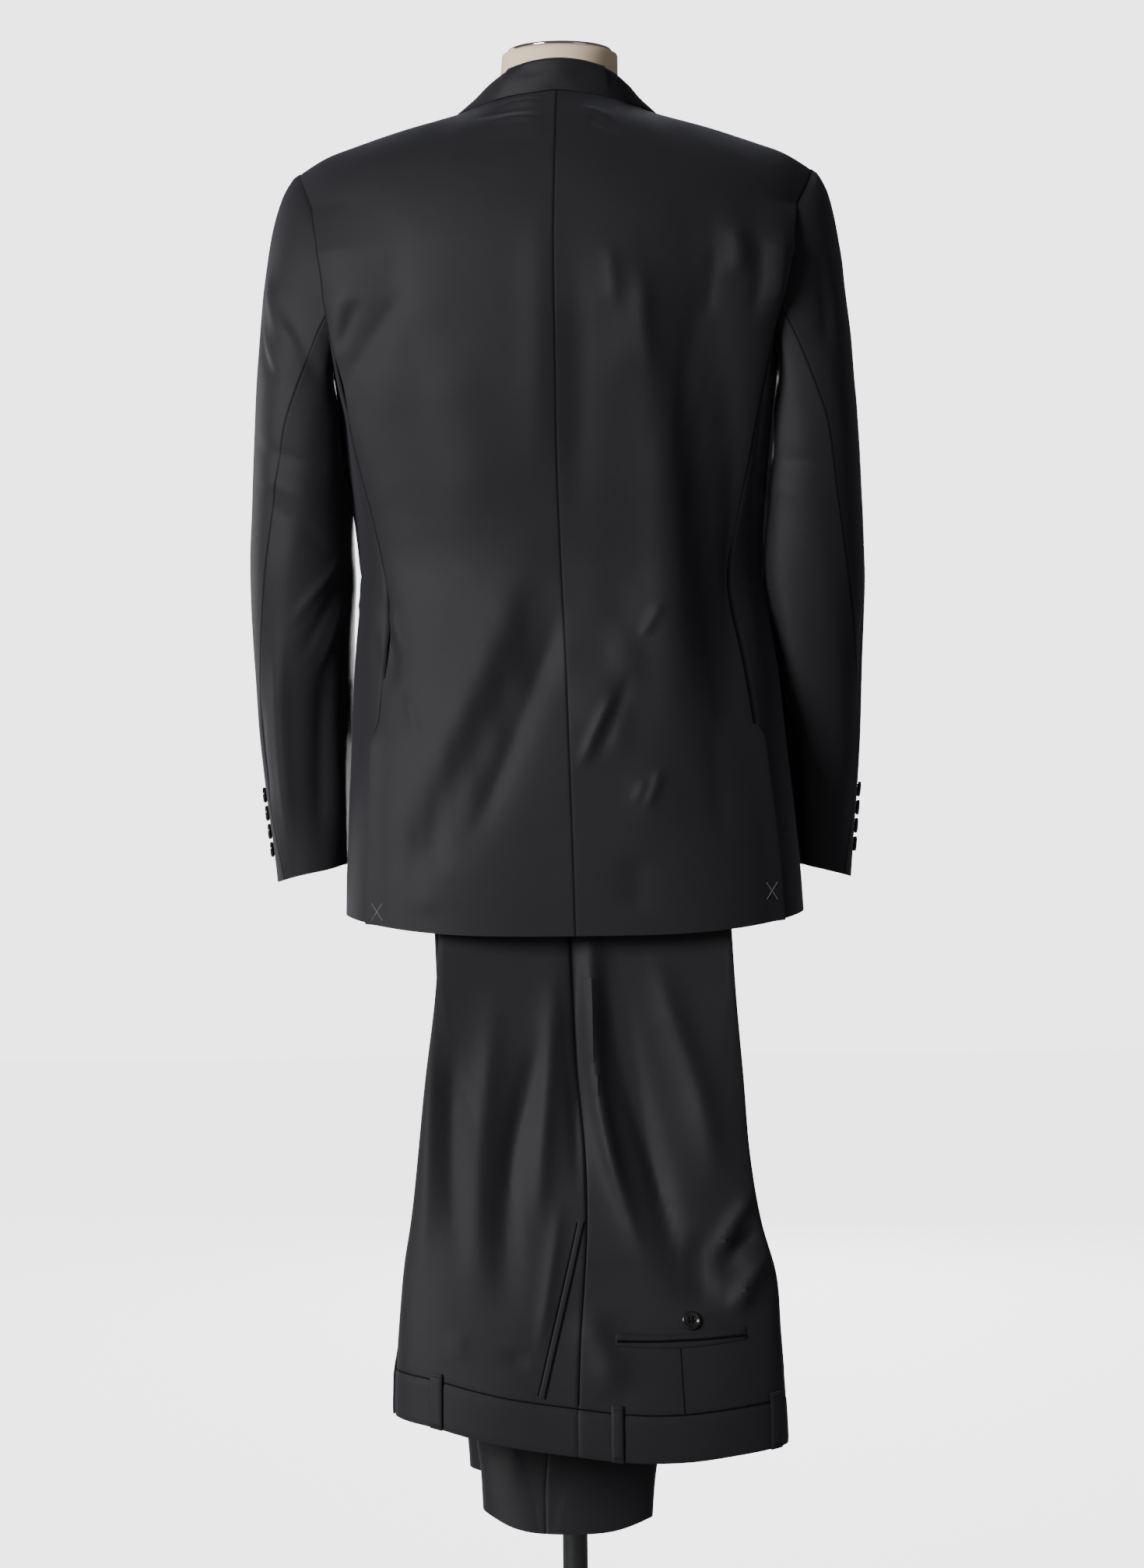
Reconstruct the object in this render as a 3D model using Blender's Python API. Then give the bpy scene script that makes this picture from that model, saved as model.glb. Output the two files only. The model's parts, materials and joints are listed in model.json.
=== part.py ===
"""A two-piece business suit on a dress form stand.

The jacket hangs on the form's shoulders. The trousers are folded on their leg creases and hang waist down
over a bar just inside the jacket's back hem. Metres, +Z up. The suit's front is towards +Y, so its back is
towards -Y and the wearer's right is towards +X. The origin is on the floor under the pole.
"""

import math

import bpy
import numpy as np

MM = 0.001
RIGHT, LEFT = 1, -1

# Cloth walls and the gaps between them
JACKET_WALL = 1.6 * MM
TROUSER_WALL = 1.2 * MM
BAND_WALL = 2.4 * MM
COLLAR_WALL = 2.0 * MM
SEAM_GAP = 0.3 * MM
SEAM_ANGLE = 0.06
LAID_GAP = 0.6 * MM
PATCH_WALL = 1.4 * MM

# Main heights above the floor
NECK_Z = 1.549
SHOULDER_POINT_Z = 1.489
ARMHOLE_BACK_Z = 1.360
ARMHOLE_FRONT_Z = 1.335
ARMHOLE_BOTTOM_Z = 1.300
TOP_BUTTON_Z = 1.130
LOW_BUTTON_Z = 1.020
JACKET_HEM_Z = 0.7915
SIDE_HEM_RISE = 0.017
FRONT_CORNER_RISE = 0.050
BICEPS_Z = 1.245
FORM_BOTTOM_Z = 0.875
NECK_CAP_Z = 1.596
RING_RADIUS = 48 * MM
RING_HEIGHT = 4.2 * MM

# Stand and trouser bar
POLE_RADIUS = 11.5 * MM
POLE_TOP_Z = 0.8747
BASE_RADIUS = 0.165
BASE_HEIGHT = 0.012
BASE_BEVEL = 0.012
BAR_RADIUS = 8 * MM
BAR_Y = -0.103
BAR_Z = 0.803
BAR_LEFT_X = -0.144
BAR_RIGHT_X = 0.165
BAR_BEND = 0.018
BAR_REAR_Y = -(POLE_RADIUS + BAR_RADIUS + SEAM_GAP)
BAR_REAR_Z = 0.845

BUTTON_RADIUS = 7.75 * MM
BUTTON_HEIGHT = 3.2 * MM


def table(names, *rows):
    """Named columns from short rows. The first column is the one that places are looked up by."""
    columns = np.array(rows, float).T
    return dict(zip(names.split(), columns))


def at(columns, name, where):
    """A column's value at any place of the first column, on a smooth curve through its rows."""
    keys = next(iter(columns.values()))
    values = columns[name]
    slopes = np.gradient(values, keys)
    where = np.clip(np.asarray(where, float), keys[0], keys[-1])
    row = np.clip(np.searchsorted(keys, where, side="right") - 1, 0, len(keys) - 2)
    span = keys[row + 1] - keys[row]
    t = (where - keys[row]) / span
    start = values[row] * (1 + 2 * t) * (1 - t) ** 2 + slopes[row] * span * t * (1 - t) ** 2
    end = values[row + 1] * t * t * (3 - 2 * t) - slopes[row + 1] * span * t * t * (1 - t)
    return start + end


def smooth(t):
    t = np.clip(t, 0.0, 1.0)
    return t * t * (3 - 2 * t)


def unit(vectors):
    return vectors / np.linalg.norm(vectors, axis=-1, keepdims=True)


# Jacket, outside of the cloth: half width at each height, up the side and along the shoulder seam
SIDE_LINE = table(
    "z half_width",
    (0.780, 0.2097),
    (0.850, 0.2070),
    (0.950, 0.2000),
    (1.030, 0.1945),
    (1.120, 0.1855),
    (1.200, 0.1920),
    (1.300, 0.2030),
    (1.360, 0.2110),
    (1.410, 0.2300),
    (1.450, 0.2420),
    (1.475, 0.2390),
    (1.489, 0.2330),
    (1.496, 0.2210),
    (1.503, 0.2050),
    (1.510, 0.1850),
    (1.5175, 0.1635),
    (1.5246, 0.1390),
    (1.5300, 0.1160),
    (1.5350, 0.0960),
    (1.549, 0.0750),
)

# Depth behind and in front of the shoulder line, and how square the section is (2 is an ellipse)
GIRTH = table(
    "z back front square back_seam front_seam",
    (0.780, 0.1460, 0.128, 3.3, -38.0, 27.0),
    (0.850, 0.1420, 0.127, 3.2, -38.0, 27.0),
    (0.950, 0.1320, 0.125, 2.9, -37.0, 26.0),
    (1.030, 0.1225, 0.122, 2.6, -36.0, 26.0),
    (1.120, 0.1120, 0.119, 2.5, -35.0, 26.0),
    (1.200, 0.1200, 0.123, 2.6, -34.0, 25.0),
    (1.300, 0.1280, 0.124, 2.9, -34.0, 24.0),
    (1.360, 0.1275, 0.117, 3.0, -34.0, 23.0),
    (1.410, 0.1235, 0.105, 2.6, -34.0, 23.0),
    (1.450, 0.1150, 0.091, 2.3, -34.0, 23.0),
    (1.489, 0.1020, 0.068, 1.9, -34.0, 23.0),
    (1.5175, 0.0880, 0.047, 1.8, -34.0, 23.0),
    (1.549, 0.0655, 0.024, 2.0, -34.0, 23.0),
)

# How far the jacket hangs to one side of the stand's axis, and how far its sleeves do
LEAN = table(
    "z shift sleeve",
    (0.75, 0.0070, -0.0020),
    (0.85, 0.0050, -0.0040),
    (1.00, 0.0010, -0.0065),
    (1.25, -0.0065, -0.0065),
    (1.28, -0.0065, -0.0065),
    (1.43, -0.0065, -0.0065),
    (1.50, -0.0045, -0.0045),
    (1.55, -0.0030, -0.0030),
    (1.58, 0.0000, 0.0000),
)

# Inner edge of the front: cutaway, overlap under the top button, then the roll line of the lapel
FRONT_EDGE = table(
    "z x",
    (0.780, 0.050),
    (0.840, 0.031),
    (0.890, 0.013),
    (0.940, -0.003),
    (0.985, -0.014),
    (1.030, -0.019),
    (1.080, -0.018),
    (1.112, -0.010),
    (1.140, 0.003),
    (1.200, 0.0180),
    (1.335, 0.0355),
    (1.450, 0.0500),
    (1.500, 0.0580),
    (1.549, 0.0750),
)

# Folds of the cloth on the jacket's back: each has its width, its height (negative for a trough) and the
# (x, z) places along it
BACK_FOLDS = (
    ("left blade trough", 14 * MM, -3.5 * MM, (-0.137, 1.369), (-0.180, 1.264)),
    (
        "long slanting trough", 18 * MM, -5.0 * MM,
        (-0.009, 1.112), (-0.041, 1.029), (-0.122, 0.903), (-0.133, 0.814),
    ),
    ("right long trough", 22 * MM, -7.0 * MM, (0.130, 1.400), (0.119, 1.286), (0.128, 1.128), (0.151, 0.918)),
    ("right blade ridge", 12 * MM, 4.0 * MM, (0.152, 1.428), (0.150, 1.364)),
    ("right armhole ridge", 13 * MM, 4.0 * MM, (0.182, 1.422), (0.178, 1.338)),
    ("upper ridge", 12 * MM, 2.5 * MM, (0.041, 1.400), (0.045, 1.338)),
    ("middle ridge", 13 * MM, 2.5 * MM, (0.072, 1.380), (0.070, 1.286)),
    (
        "right waist ridge", 13 * MM, 3.0 * MM,
        (0.085, 1.086), (0.064, 1.049), (0.043, 1.008), (0.010, 0.934),
    ),
    ("right hip ridge", 12 * MM, 2.5 * MM, (0.084, 0.940), (0.068, 0.898)),
    ("left waist trough", 12 * MM, -3.0 * MM, (-0.166, 1.097), (-0.151, 1.008)),
)

# The same kind of folds on the fronts, where the cloth drops from the chest and wraps to the button
FRONT_FOLDS = (
    ("left pull to the button", 16 * MM, -3.0 * MM, (-0.150, 1.190), (-0.090, 1.150), (-0.040, 1.120)),
    ("right pull to the button", 15 * MM, -2.5 * MM, (0.160, 1.170), (0.100, 1.130), (0.055, 1.100)),
    ("left skirt trough", 20 * MM, -4.0 * MM, (-0.120, 1.010), (-0.128, 0.900), (-0.120, 0.820)),
    ("right skirt trough", 18 * MM, -3.5 * MM, (0.110, 1.000), (0.122, 0.900), (0.128, 0.830)),
    ("left chest ridge", 18 * MM, 3.0 * MM, (-0.150, 1.400), (-0.140, 1.270)),
    ("right chest ridge", 16 * MM, 3.0 * MM, (0.146, 1.410), (0.150, 1.290)),
)

# Share of a fold's length over which it fades at each end, and the share of its height left there
FOLD_FADE = 0.22
FOLD_END = 0.25


def fold_depth(folds, x, z):
    """How far the folds move the cloth out at (x, z): soft troughs and ridges that fade at their ends."""
    depth = np.zeros(np.shape(x))
    for _, width, height, *places in folds:
        places = np.array(places)
        steps = np.linalg.norm(np.diff(places, axis=0), axis=1)
        length = steps.sum()
        nearest = np.full(np.shape(x), np.inf)
        along = np.zeros(np.shape(x))
        passed = 0.0
        for start, end, step in zip(places[:-1], places[1:], steps):
            toward = (end - start) / step
            run = np.clip((x - start[0]) * toward[0] + (z - start[1]) * toward[1], 0.0, step)
            apart = np.hypot(x - start[0] - run * toward[0], z - start[1] - run * toward[1])
            along = np.where(apart < nearest, (passed + run) / length, along)
            nearest = np.minimum(nearest, apart)
            passed += step
        ends = smooth(along / FOLD_FADE) * smooth((1 - along) / FOLD_FADE)
        fade = FOLD_END + (1 - FOLD_END) * ends
        depth += height * fade * np.exp(-((nearest / width) ** 2))
    return depth


def jacket_level(points):
    """1 on the jacket's outer surface, less inside it and more outside it."""
    x, y, z = points[..., 0], points[..., 1], points[..., 2]
    square = at(GIRTH, "square", z)
    depth = np.where(y < 0, at(GIRTH, "back", z), at(GIRTH, "front", z))
    wide = (np.abs(x) / at(SIDE_LINE, "half_width", z)) ** square
    deep = (np.abs(y) / depth) ** square
    return (wide + deep) ** (1 / square)


def jacket_normal(points):
    step = 0.2 * MM
    slope = [jacket_level(points + step * axis) - jacket_level(points - step * axis) for axis in np.eye(3)]
    return unit(np.stack(slope, axis=-1))


def jacket_distance(points):
    """About how far a point is outside the jacket's outer surface."""
    step = 0.2 * MM
    slope = [jacket_level(points + step * axis) - jacket_level(points - step * axis) for axis in np.eye(3)]
    return (jacket_level(points) - 1) * 2 * step / np.linalg.norm(np.stack(slope, axis=-1), axis=-1)


def push_out(points, clearance):
    """Points moved out until they are this far from the jacket."""
    for _ in range(3):
        short = np.maximum(0.0, clearance - jacket_distance(points))
        points = points + short[..., None] * jacket_normal(points)
    return points


def around(angle, z):
    """The jacket's outside, by an angle from the side seam: -90 at the centre back, 90 at the centre front."""
    turn = np.radians(angle)
    power = 2 / at(GIRTH, "square", z)
    cos, sin = np.cos(turn), np.sin(turn)
    depth = np.where(sin < 0, at(GIRTH, "back", z), at(GIRTH, "front", z))
    x = at(SIDE_LINE, "half_width", z) * np.sign(cos) * np.abs(cos) ** power
    y = depth * np.sign(sin) * np.abs(sin) ** power
    return np.stack([x, y, z + 0 * x], axis=-1)


def on_jacket(x, z, front):
    """The jacket's outside at x and z, on its front or its back."""
    square = at(GIRTH, "square", z)
    depth = at(GIRTH, "front", z) if front else -at(GIRTH, "back", z)
    share = np.clip(np.abs(x) / at(SIDE_LINE, "half_width", z), 0.0, 1.0)
    y = depth * (1 - share**square) ** (1 / square)
    return np.stack([x + 0 * y, y, z + 0 * y], axis=-1)


def side_width(y, z):
    """The x of the jacket's outside at y and z."""
    square = at(GIRTH, "square", z)
    depth = np.where(y < 0, at(GIRTH, "back", z), at(GIRTH, "front", z))
    return at(SIDE_LINE, "half_width", z) * (1 - (np.abs(y) / depth) ** square) ** (1 / square)


def placed(points, side):
    """From the wearer's right half to its own side, with the lean of the jacket."""
    moved = points * np.array([side, 1, 1])
    moved[..., 0] += at(LEAN, "shift", moved[..., 2])
    return moved


def sleeve_drift(points, side):
    """The sleeves hang a little to one side of the jacket's lean; added before the mirror and the lean."""
    moved = points.copy()
    moved[..., 0] += side * (at(LEAN, "sleeve", points[..., 2]) - at(LEAN, "shift", points[..., 2]))
    return moved


def finish(name, colour, roughness, metallic=0.0):
    material = bpy.data.materials.new(name)
    material.use_nodes = True
    shader = material.node_tree.nodes["Principled BSDF"]
    shader.inputs["Base Color"].default_value = (*colour, 1.0)
    shader.inputs["Roughness"].default_value = roughness
    shader.inputs["Metallic"].default_value = metallic
    material.diffuse_color = (*colour, 1.0)
    return material


def wool(name):
    return finish(name, (0.024, 0.025, 0.028), 0.85)


def black_button(name):
    return finish(name, (0.008, 0.008, 0.009), 0.25)


def solid(name, points, triangles, material):
    """A closed mesh object, with its faces turned outwards."""
    points, triangles = np.asarray(points, float), np.asarray(triangles)
    used, triangles = np.unique(triangles, return_inverse=True)
    points, triangles = points[used], triangles.reshape(-1, 3)
    corners = points[triangles]
    if np.einsum("ij,ij->", corners[:, 0], np.cross(corners[:, 1], corners[:, 2])) < 0:
        triangles = triangles[:, ::-1]
    mesh = bpy.data.meshes.new(name)
    mesh.from_pydata(points.tolist(), [], triangles.tolist())
    mesh.materials.append(material)
    mesh.shade_smooth()
    mesh.set_sharp_from_angle(angle=math.radians(50))
    thing = bpy.data.objects.new(name, mesh)
    bpy.context.scene.collection.objects.link(thing)
    return thing


def wall(name, outer, inner, material, keep=None):
    """A cloth wall between two grids of points, with rims where the kept cells end."""
    rows, columns = outer.shape[:2]
    count = rows * columns
    points = np.concatenate([outer.reshape(-1, 3), inner.reshape(-1, 3)])
    triangles, edges = [], set()
    for row in range(rows - 1):
        for column in range(columns - 1):
            if keep is not None and not keep[row, column]:
                continue
            a = row * columns + column
            b, c, d = a + 1, a + columns + 1, a + columns
            one, other = np.linalg.norm(points[a] - points[c]), np.linalg.norm(points[b] - points[d])
            halves = ((a, b, c), (a, c, d)) if one <= other else ((a, b, d), (b, c, d))
            for half in halves:
                triangles += [half, tuple(corner + count for corner in reversed(half))]
            edges |= {(a, b), (b, c), (c, d), (d, a)}
    for start, end in edges:
        if (end, start) not in edges:
            triangles += [(end, start, start + count), (end, start + count, end + count)]
    return solid(name, points, triangles, material)


def turned(name, profile, centre, axis, sides, material):
    """A closed round piece from a profile of (radius, height) pairs that starts and ends on its axis."""
    axis = unit(np.array(axis, float))
    across = unit(np.cross(axis, [0, 1, 0] if abs(axis[1]) < 0.9 else [1, 0, 0]))
    third = np.cross(axis, across)
    turns = np.arange(sides) * 2 * math.pi / sides
    ring = np.cos(turns)[:, None] * across + np.sin(turns)[:, None] * third
    points = [np.array(centre) + profile[0][1] * axis]
    for radius, height in profile[1:-1]:
        points += list(np.array(centre) + height * axis + radius * ring)
    points.append(np.array(centre) + profile[-1][1] * axis)
    triangles, last = [], len(points) - 1
    for side in range(sides):
        following = (side + 1) % sides
        triangles.append((0, 1 + following, 1 + side))
        for level in range(len(profile) - 3):
            low, high = 1 + level * sides, 1 + (level + 1) * sides
            triangles.append((low + side, low + following, high + following))
            triangles.append((low + side, high + following, high + side))
        top = 1 + (len(profile) - 3) * sides
        triangles.append((top + side, top + following, last))
    return solid(name, points, triangles, material)


def button(name, place, axis, radius=BUTTON_RADIUS):
    """A rimmed button with a shallow dish."""
    rim = radius * 0.78
    high = BUTTON_HEIGHT
    profile = (
        (0, 0), (radius * 0.8, 0), (radius, high * 0.45), (radius * 0.93, high),
        (rim, high), (rim * 0.85, high * 0.7), (0, high * 0.7),
    )
    return turned(name, profile, place, axis, 14, black_button(name))


# Jacket panels

LOWER_ROWS = np.linspace(0, 1, 15)
UPPER_TURNS = np.radians([72, 54, 36, 18, 0.12])
SIDE_COLUMNS = 7
# Where across the front its rounded lower corner starts, and how square that corner is
CORNER_START = 0.52
CORNER_SQUARE = 2.4
# The hem's angles round the body at the two edges of each panel
BACK_HEM = (-90, -38)
SIDE_HEM = (-38, 27)
FRONT_HEM = (27, 76)
SIDE_BEND_START = 0.6
UNDERARM_Y = -0.005
ARMHOLE_FLATNESS = 1.4
SHOULDER_X = float(at(SIDE_LINE, "half_width", SHOULDER_POINT_Z))
NECK_SHARE = 0.38


def armhole(angle):
    """The armhole: 0 at the shoulder point, 90 at its back, 180 under the arm, 270 in front."""
    angle = np.asarray(angle, float) % 360
    turn = np.radians(angle)
    sin, cos = np.sin(turn), np.cos(turn)
    back = around(at(GIRTH, "back_seam", ARMHOLE_BACK_Z), np.float64(ARMHOLE_BACK_Z))[1]
    front = around(at(GIRTH, "front_seam", ARMHOLE_FRONT_Z), np.float64(ARMHOLE_FRONT_Z))[1]
    behind = angle < 180
    upper = (angle < 90) | (angle > 270)
    edge = np.where(behind, back, front)
    level = np.where(behind, ARMHOLE_BACK_Z, ARMHOLE_FRONT_Z)
    y = np.where(upper, edge * np.abs(sin) ** ARMHOLE_FLATNESS, UNDERARM_Y + (edge - UNDERARM_Y) * np.abs(sin))
    z = np.where(upper, level + (SHOULDER_POINT_Z - level) * cos, level + (level - ARMHOLE_BOTTOM_Z) * cos)
    return np.stack([side_width(y, z), y, z], axis=-1)


def hem_height(angles, share):
    """The hem's height across a panel: it rises a little towards the side of the body."""
    angle = angles[0] + share * (angles[1] - angles[0])
    return JACKET_HEM_Z + SIDE_HEM_RISE * np.cos(np.radians(angle)) ** 2


def lower_rows(angles_at, hem, top):
    """Rows of a panel from its hem up to the armhole's level, each column between its own two heights."""
    rows = []
    for share in LOWER_ROWS:
        z = hem + share * (top - hem)
        rows.append(around(angles_at(z), z))
    return rows


def upper_rows(last, inner_edge, level, top_x, top_z, front):
    """Rows from the armhole's level to the neck and shoulder seam, between an inner edge and the armhole."""
    first = last[..., 0]
    spread = (first - first[0]) / (first[-1] - first[0])
    top_spread = (top_x - top_x[0]) / (top_x[-1] - top_x[0])
    rows = []
    for turn in UPPER_TURNS:
        rise = math.cos(turn)
        z = level + (top_z - level) * rise
        hole = armhole(360 - math.degrees(turn) if front else math.degrees(turn))
        z[-1] = hole[2]
        share = spread + (top_spread - spread) * rise
        inner = inner_edge(z[0])
        rows.append(on_jacket(inner + (hole[0] - inner) * share, z, front))
    return rows


# Shares of the way across a panel, closer together where its outline turns
BACK_SHARES = np.array([0.0, 0.10, 0.20, 0.30, 0.40, 0.50, 0.60, 0.70, 0.80, 0.90, 0.9992])
FRONT_SHARES = np.array([0.0008, 0.18, 0.36, 0.52, 0.65, 0.75, 0.83, 0.90, 0.96, 1.0])


def back_grid():
    share = BACK_SHARES
    rows = lower_rows(
        lambda z: -90 + SEAM_ANGLE + share * (at(GIRTH, "back_seam", z) + 90 - 2 * SEAM_ANGLE),
        hem_height(BACK_HEM, share),
        np.full(share.shape, ARMHOLE_BACK_Z),
    )
    neck = np.clip(share / NECK_SHARE, 0, 1)
    shoulder = np.clip((share - NECK_SHARE) / (1 - NECK_SHARE), 0, 1)
    neck_width = at(SIDE_LINE, "half_width", NECK_Z)
    top_x = neck_width * np.sin(neck * math.pi / 2) + shoulder * (SHOULDER_X - neck_width)
    top_z = shoulder_height(top_x)
    centre = SEAM_GAP / 2
    for row in rows:
        row[0] = on_jacket(centre, row[0, 2], False)
    rows += upper_rows(rows[-1], lambda z: centre, ARMHOLE_BACK_Z, top_x, top_z, False)
    return np.array(rows)


def shoulder_height(x):
    """Height of the shoulder seam at x, read back from the side line."""
    keep = SIDE_LINE["z"] >= SHOULDER_POINT_Z
    height, width = SIDE_LINE["z"][keep], SIDE_LINE["half_width"][keep]
    fine = np.linspace(height[0], height[-1], 200)
    return np.interp(x, at(SIDE_LINE, "half_width", fine)[::-1], fine[::-1])


def side_grid():
    share = np.linspace(0, 1, SIDE_COLUMNS + 1)
    hole = armhole(90 + 180 * share)

    def angles(z):
        back, front = at(GIRTH, "back_seam", z) + SEAM_ANGLE, at(GIRTH, "front_seam", z) - SEAM_ANGLE
        return back + share * (front - back)

    rows = lower_rows(angles, hem_height(SIDE_HEM, share), hole[:, 2] - SEAM_GAP)
    top = hole - np.array([0, 0, SEAM_GAP])
    bent = smooth((LOWER_ROWS - SIDE_BEND_START) / (1 - SIDE_BEND_START))
    for row, weight in zip(rows, bent):
        row[1:-1, 1] += weight * (top[1:-1, 1] - rows[-1][1:-1, 1])
    grid = np.array(rows)
    grid[..., 0] = side_width(grid[..., 1], grid[..., 2])
    return grid


def front_angle(x, z):
    """The angle at which the front has this x."""
    share = x / at(SIDE_LINE, "half_width", z)
    return np.degrees(np.arccos(np.sign(share) * np.abs(share) ** (at(GIRTH, "square", z) / 2)))


def front_grid():
    share = FRONT_SHARES
    turned_in = np.clip((share - CORNER_START) / (1 - CORNER_START), 0, 1)
    hem = hem_height(FRONT_HEM, share) + FRONT_CORNER_RISE * (1 - np.sqrt(1 - turned_in**CORNER_SQUARE))

    def angles(z):
        seam = at(GIRTH, "front_seam", z) + SEAM_ANGLE
        edge = front_angle(at(FRONT_EDGE, "x", z), z)
        return seam + share * (edge - seam)

    rows = lower_rows(angles, hem, np.full(share.shape, ARMHOLE_FRONT_Z))
    neck_width = at(SIDE_LINE, "half_width", NECK_Z)
    top_x = SHOULDER_X + share * (neck_width - SHOULDER_X)
    flipped = [row[::-1] for row in rows]
    upper = upper_rows(
        flipped[-1],
        lambda z: at(FRONT_EDGE, "x", z),
        ARMHOLE_FRONT_Z,
        top_x[::-1],
        shoulder_height(top_x[::-1]),
        True,
    )
    return np.array(flipped + upper)


OVERLAP_LIFT = 3.0 * MM
SHOULDER_SEAM_SHIFT = 0.24 * MM
OVERLAP_FADE_START, OVERLAP_FADE_END = 0.032, 0.072


def overlap_lift(points, side):
    """The wearer's left front lies over the right one near the centre."""
    if side == RIGHT:
        return np.zeros(points.shape[:-1])
    fade = (points[..., 0] - OVERLAP_FADE_START) / (OVERLAP_FADE_END - OVERLAP_FADE_START)
    return OVERLAP_LIFT * (1 - smooth(fade))


def jacket_panel(name, grid, side, folds=(), lift=None):
    """A panel of the jacket as a wall, its folds worked into both faces."""
    normal = jacket_normal(grid)
    depth = fold_depth(folds, side * grid[..., 0], grid[..., 2])
    if lift is not None:
        depth = depth + lift
    outer = grid + depth[..., None] * normal
    return wall(name, placed(outer, side), placed(outer - JACKET_WALL * normal, side), wool(name))


def inward_of_seam(grid, front):
    """The top row drawn back from the shoulder seam."""
    moved = grid.copy()
    moved[-1, :, 1] += SHOULDER_SEAM_SHIFT if front else -SHOULDER_SEAM_SHIFT
    return moved


# Sleeves

SLEEVE = table(
    "z outer width reach middle depth",
    (0.835, 0.2695, 0.077, 0.000, 0.053, 0.103),
    (0.900, 0.2745, 0.084, 0.000, 0.042, 0.109),
    (0.958, 0.2790, 0.089, 0.002, 0.032, 0.115),
    (1.015, 0.2806, 0.091, 0.006, 0.022, 0.121),
    (1.0725, 0.2826, 0.0945, 0.009, 0.012, 0.128),
    (1.130, 0.2830, 0.0970, 0.009, 0.004, 0.135),
    (1.187, 0.2803, 0.095, 0.005, 0.000, 0.143),
    (1.245, 0.2770, 0.093, 0.000, -0.004, 0.150),
)

# Where the seam at the back of the sleeve runs, as an angle round the sleeve, from its cuff up
HIND_SEAM = table("row angle", (0.0, 90), (1.0, 76), (1.35, 52), (1.6, 32), (1.75, 24), (1.88, 34), (2.0, 46))
FRONT_SEAM_ANGLE = 270
SLEEVE_ROWS = np.array([0.0, 0.08, 0.22, 0.40, 0.60, 0.80, 1.0, 1.16, 1.32, 1.48, 1.66, 1.84, 2.0])
SLEEVE_HEAD_ROW = 0.0025
TOP_COLUMNS = 10
UNDER_COLUMNS = 7
SLEEVE_CLEARANCE = 4.6 * MM
CUFF_Z = 0.8445
CUFF_SLANT = 0.0095
SLEEVE_SQUARE = 2.3
SLEEVE_SEAM_TURN = 0.15
# How the cap leaves the armhole: outwards and down, more outwards at its top
CAP_OUT, CAP_OUT_TOP = 0.028, 0.056
CAP_DOWN, CAP_DOWN_LOW = 0.018, 0.020
CAP_PULL = 1.15
# Below this height the sleeve is kept clear of the body, from this row down
CLEAR_BELOW_Z = ARMHOLE_BOTTOM_Z + 0.02
CLEAR_FROM_ROW = 0.22


def sleeve_ring(angle, z, side):
    """One turn round the sleeve. The wearer's right sleeve reaches further in, against the body."""
    turn = np.radians(angle)
    power = 2 / SLEEVE_SQUARE
    cos, sin = np.cos(turn), np.sin(turn)
    half = (at(SLEEVE, "width", z) + (at(SLEEVE, "reach", z) if side == RIGHT else 0)) / 2
    deep = at(SLEEVE, "depth", z) / 2
    x = at(SLEEVE, "outer", z) - half + half * np.sign(cos) * np.abs(cos) ** power
    y = at(SLEEVE, "middle", z) - deep * np.sign(sin) * np.abs(sin) ** power
    return np.stack([x, y, z + 0 * x], axis=-1)


def sleeve_surface(angle, row, side):
    """The sleeve's outside: row 0 is the armhole, 1 the biceps, 2 the cuff."""
    angle, row = np.broadcast_arrays(np.asarray(angle, float), np.asarray(row, float))
    turn = np.radians(angle)
    start = armhole(angle)
    end = sleeve_ring(angle, np.full(angle.shape, BICEPS_Z), side)
    below = sleeve_ring(angle, np.full(angle.shape, BICEPS_Z - MM), side)
    drop = start[..., 2] - end[..., 2]
    top = (1 + np.cos(turn)) / 2
    leave = np.stack([CAP_OUT + CAP_OUT_TOP * top, 0 * top, -CAP_DOWN - CAP_DOWN_LOW * (1 - top)], axis=-1)
    arrive = unit(below - end) * (CAP_PULL * drop)[..., None]
    t = np.clip(row, 0, 1)[..., None]
    cap = (
        start * (1 + 2 * t) * (1 - t) ** 2
        + leave * t * (1 - t) ** 2
        + end * t * t * (3 - 2 * t)
        - arrive * t * t * (1 - t)
    )
    cuff = CUFF_Z - CUFF_SLANT * np.cos(turn)
    arm = sleeve_ring(angle, BICEPS_Z + (cuff - BICEPS_Z) * np.clip(row - 1, 0, 1), side)
    points = sleeve_drift(np.where((row < 1)[..., None], cap, arm), side)
    low = points[..., 2] < CLEAR_BELOW_Z
    pushed = push_out(points, low * SLEEVE_CLEARANCE * smooth(row / CLEAR_FROM_ROW))
    return np.where((low & (row > 0))[..., None], pushed, points)


def sleeve_normal(angle, row, side):
    turn, step = 0.5, 0.004
    across = sleeve_surface(angle + turn, row, side) - sleeve_surface(angle - turn, row, side)
    low, high = np.minimum(row + step, 2), np.maximum(row - step, 0)
    down = sleeve_surface(angle, low, side) - sleeve_surface(angle, high, side)
    return unit(np.cross(across, down))


def sleeve_grid(last, columns, gap):
    """Angles and rows of a sleeve's panel, from the seam behind the arm to its last angle."""
    hind = at(HIND_SEAM, "angle", SLEEVE_ROWS)[:, None]
    angle = hind + gap + np.linspace(0, 1, columns + 1) * (last - hind - 2 * gap)
    row = SLEEVE_ROWS[:, None] + 0 * angle
    row[0] = SLEEVE_HEAD_ROW
    return angle, row


def sleeve_panel(name, side, last, columns, gap):
    angle, row = sleeve_grid(last, columns, gap)
    outer = sleeve_surface(angle, row, side)
    normal = sleeve_normal(angle, row, side)
    return wall(name, placed(outer, side), placed(outer - JACKET_WALL * normal, side), wool(name))


# Collar and lapels

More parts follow.
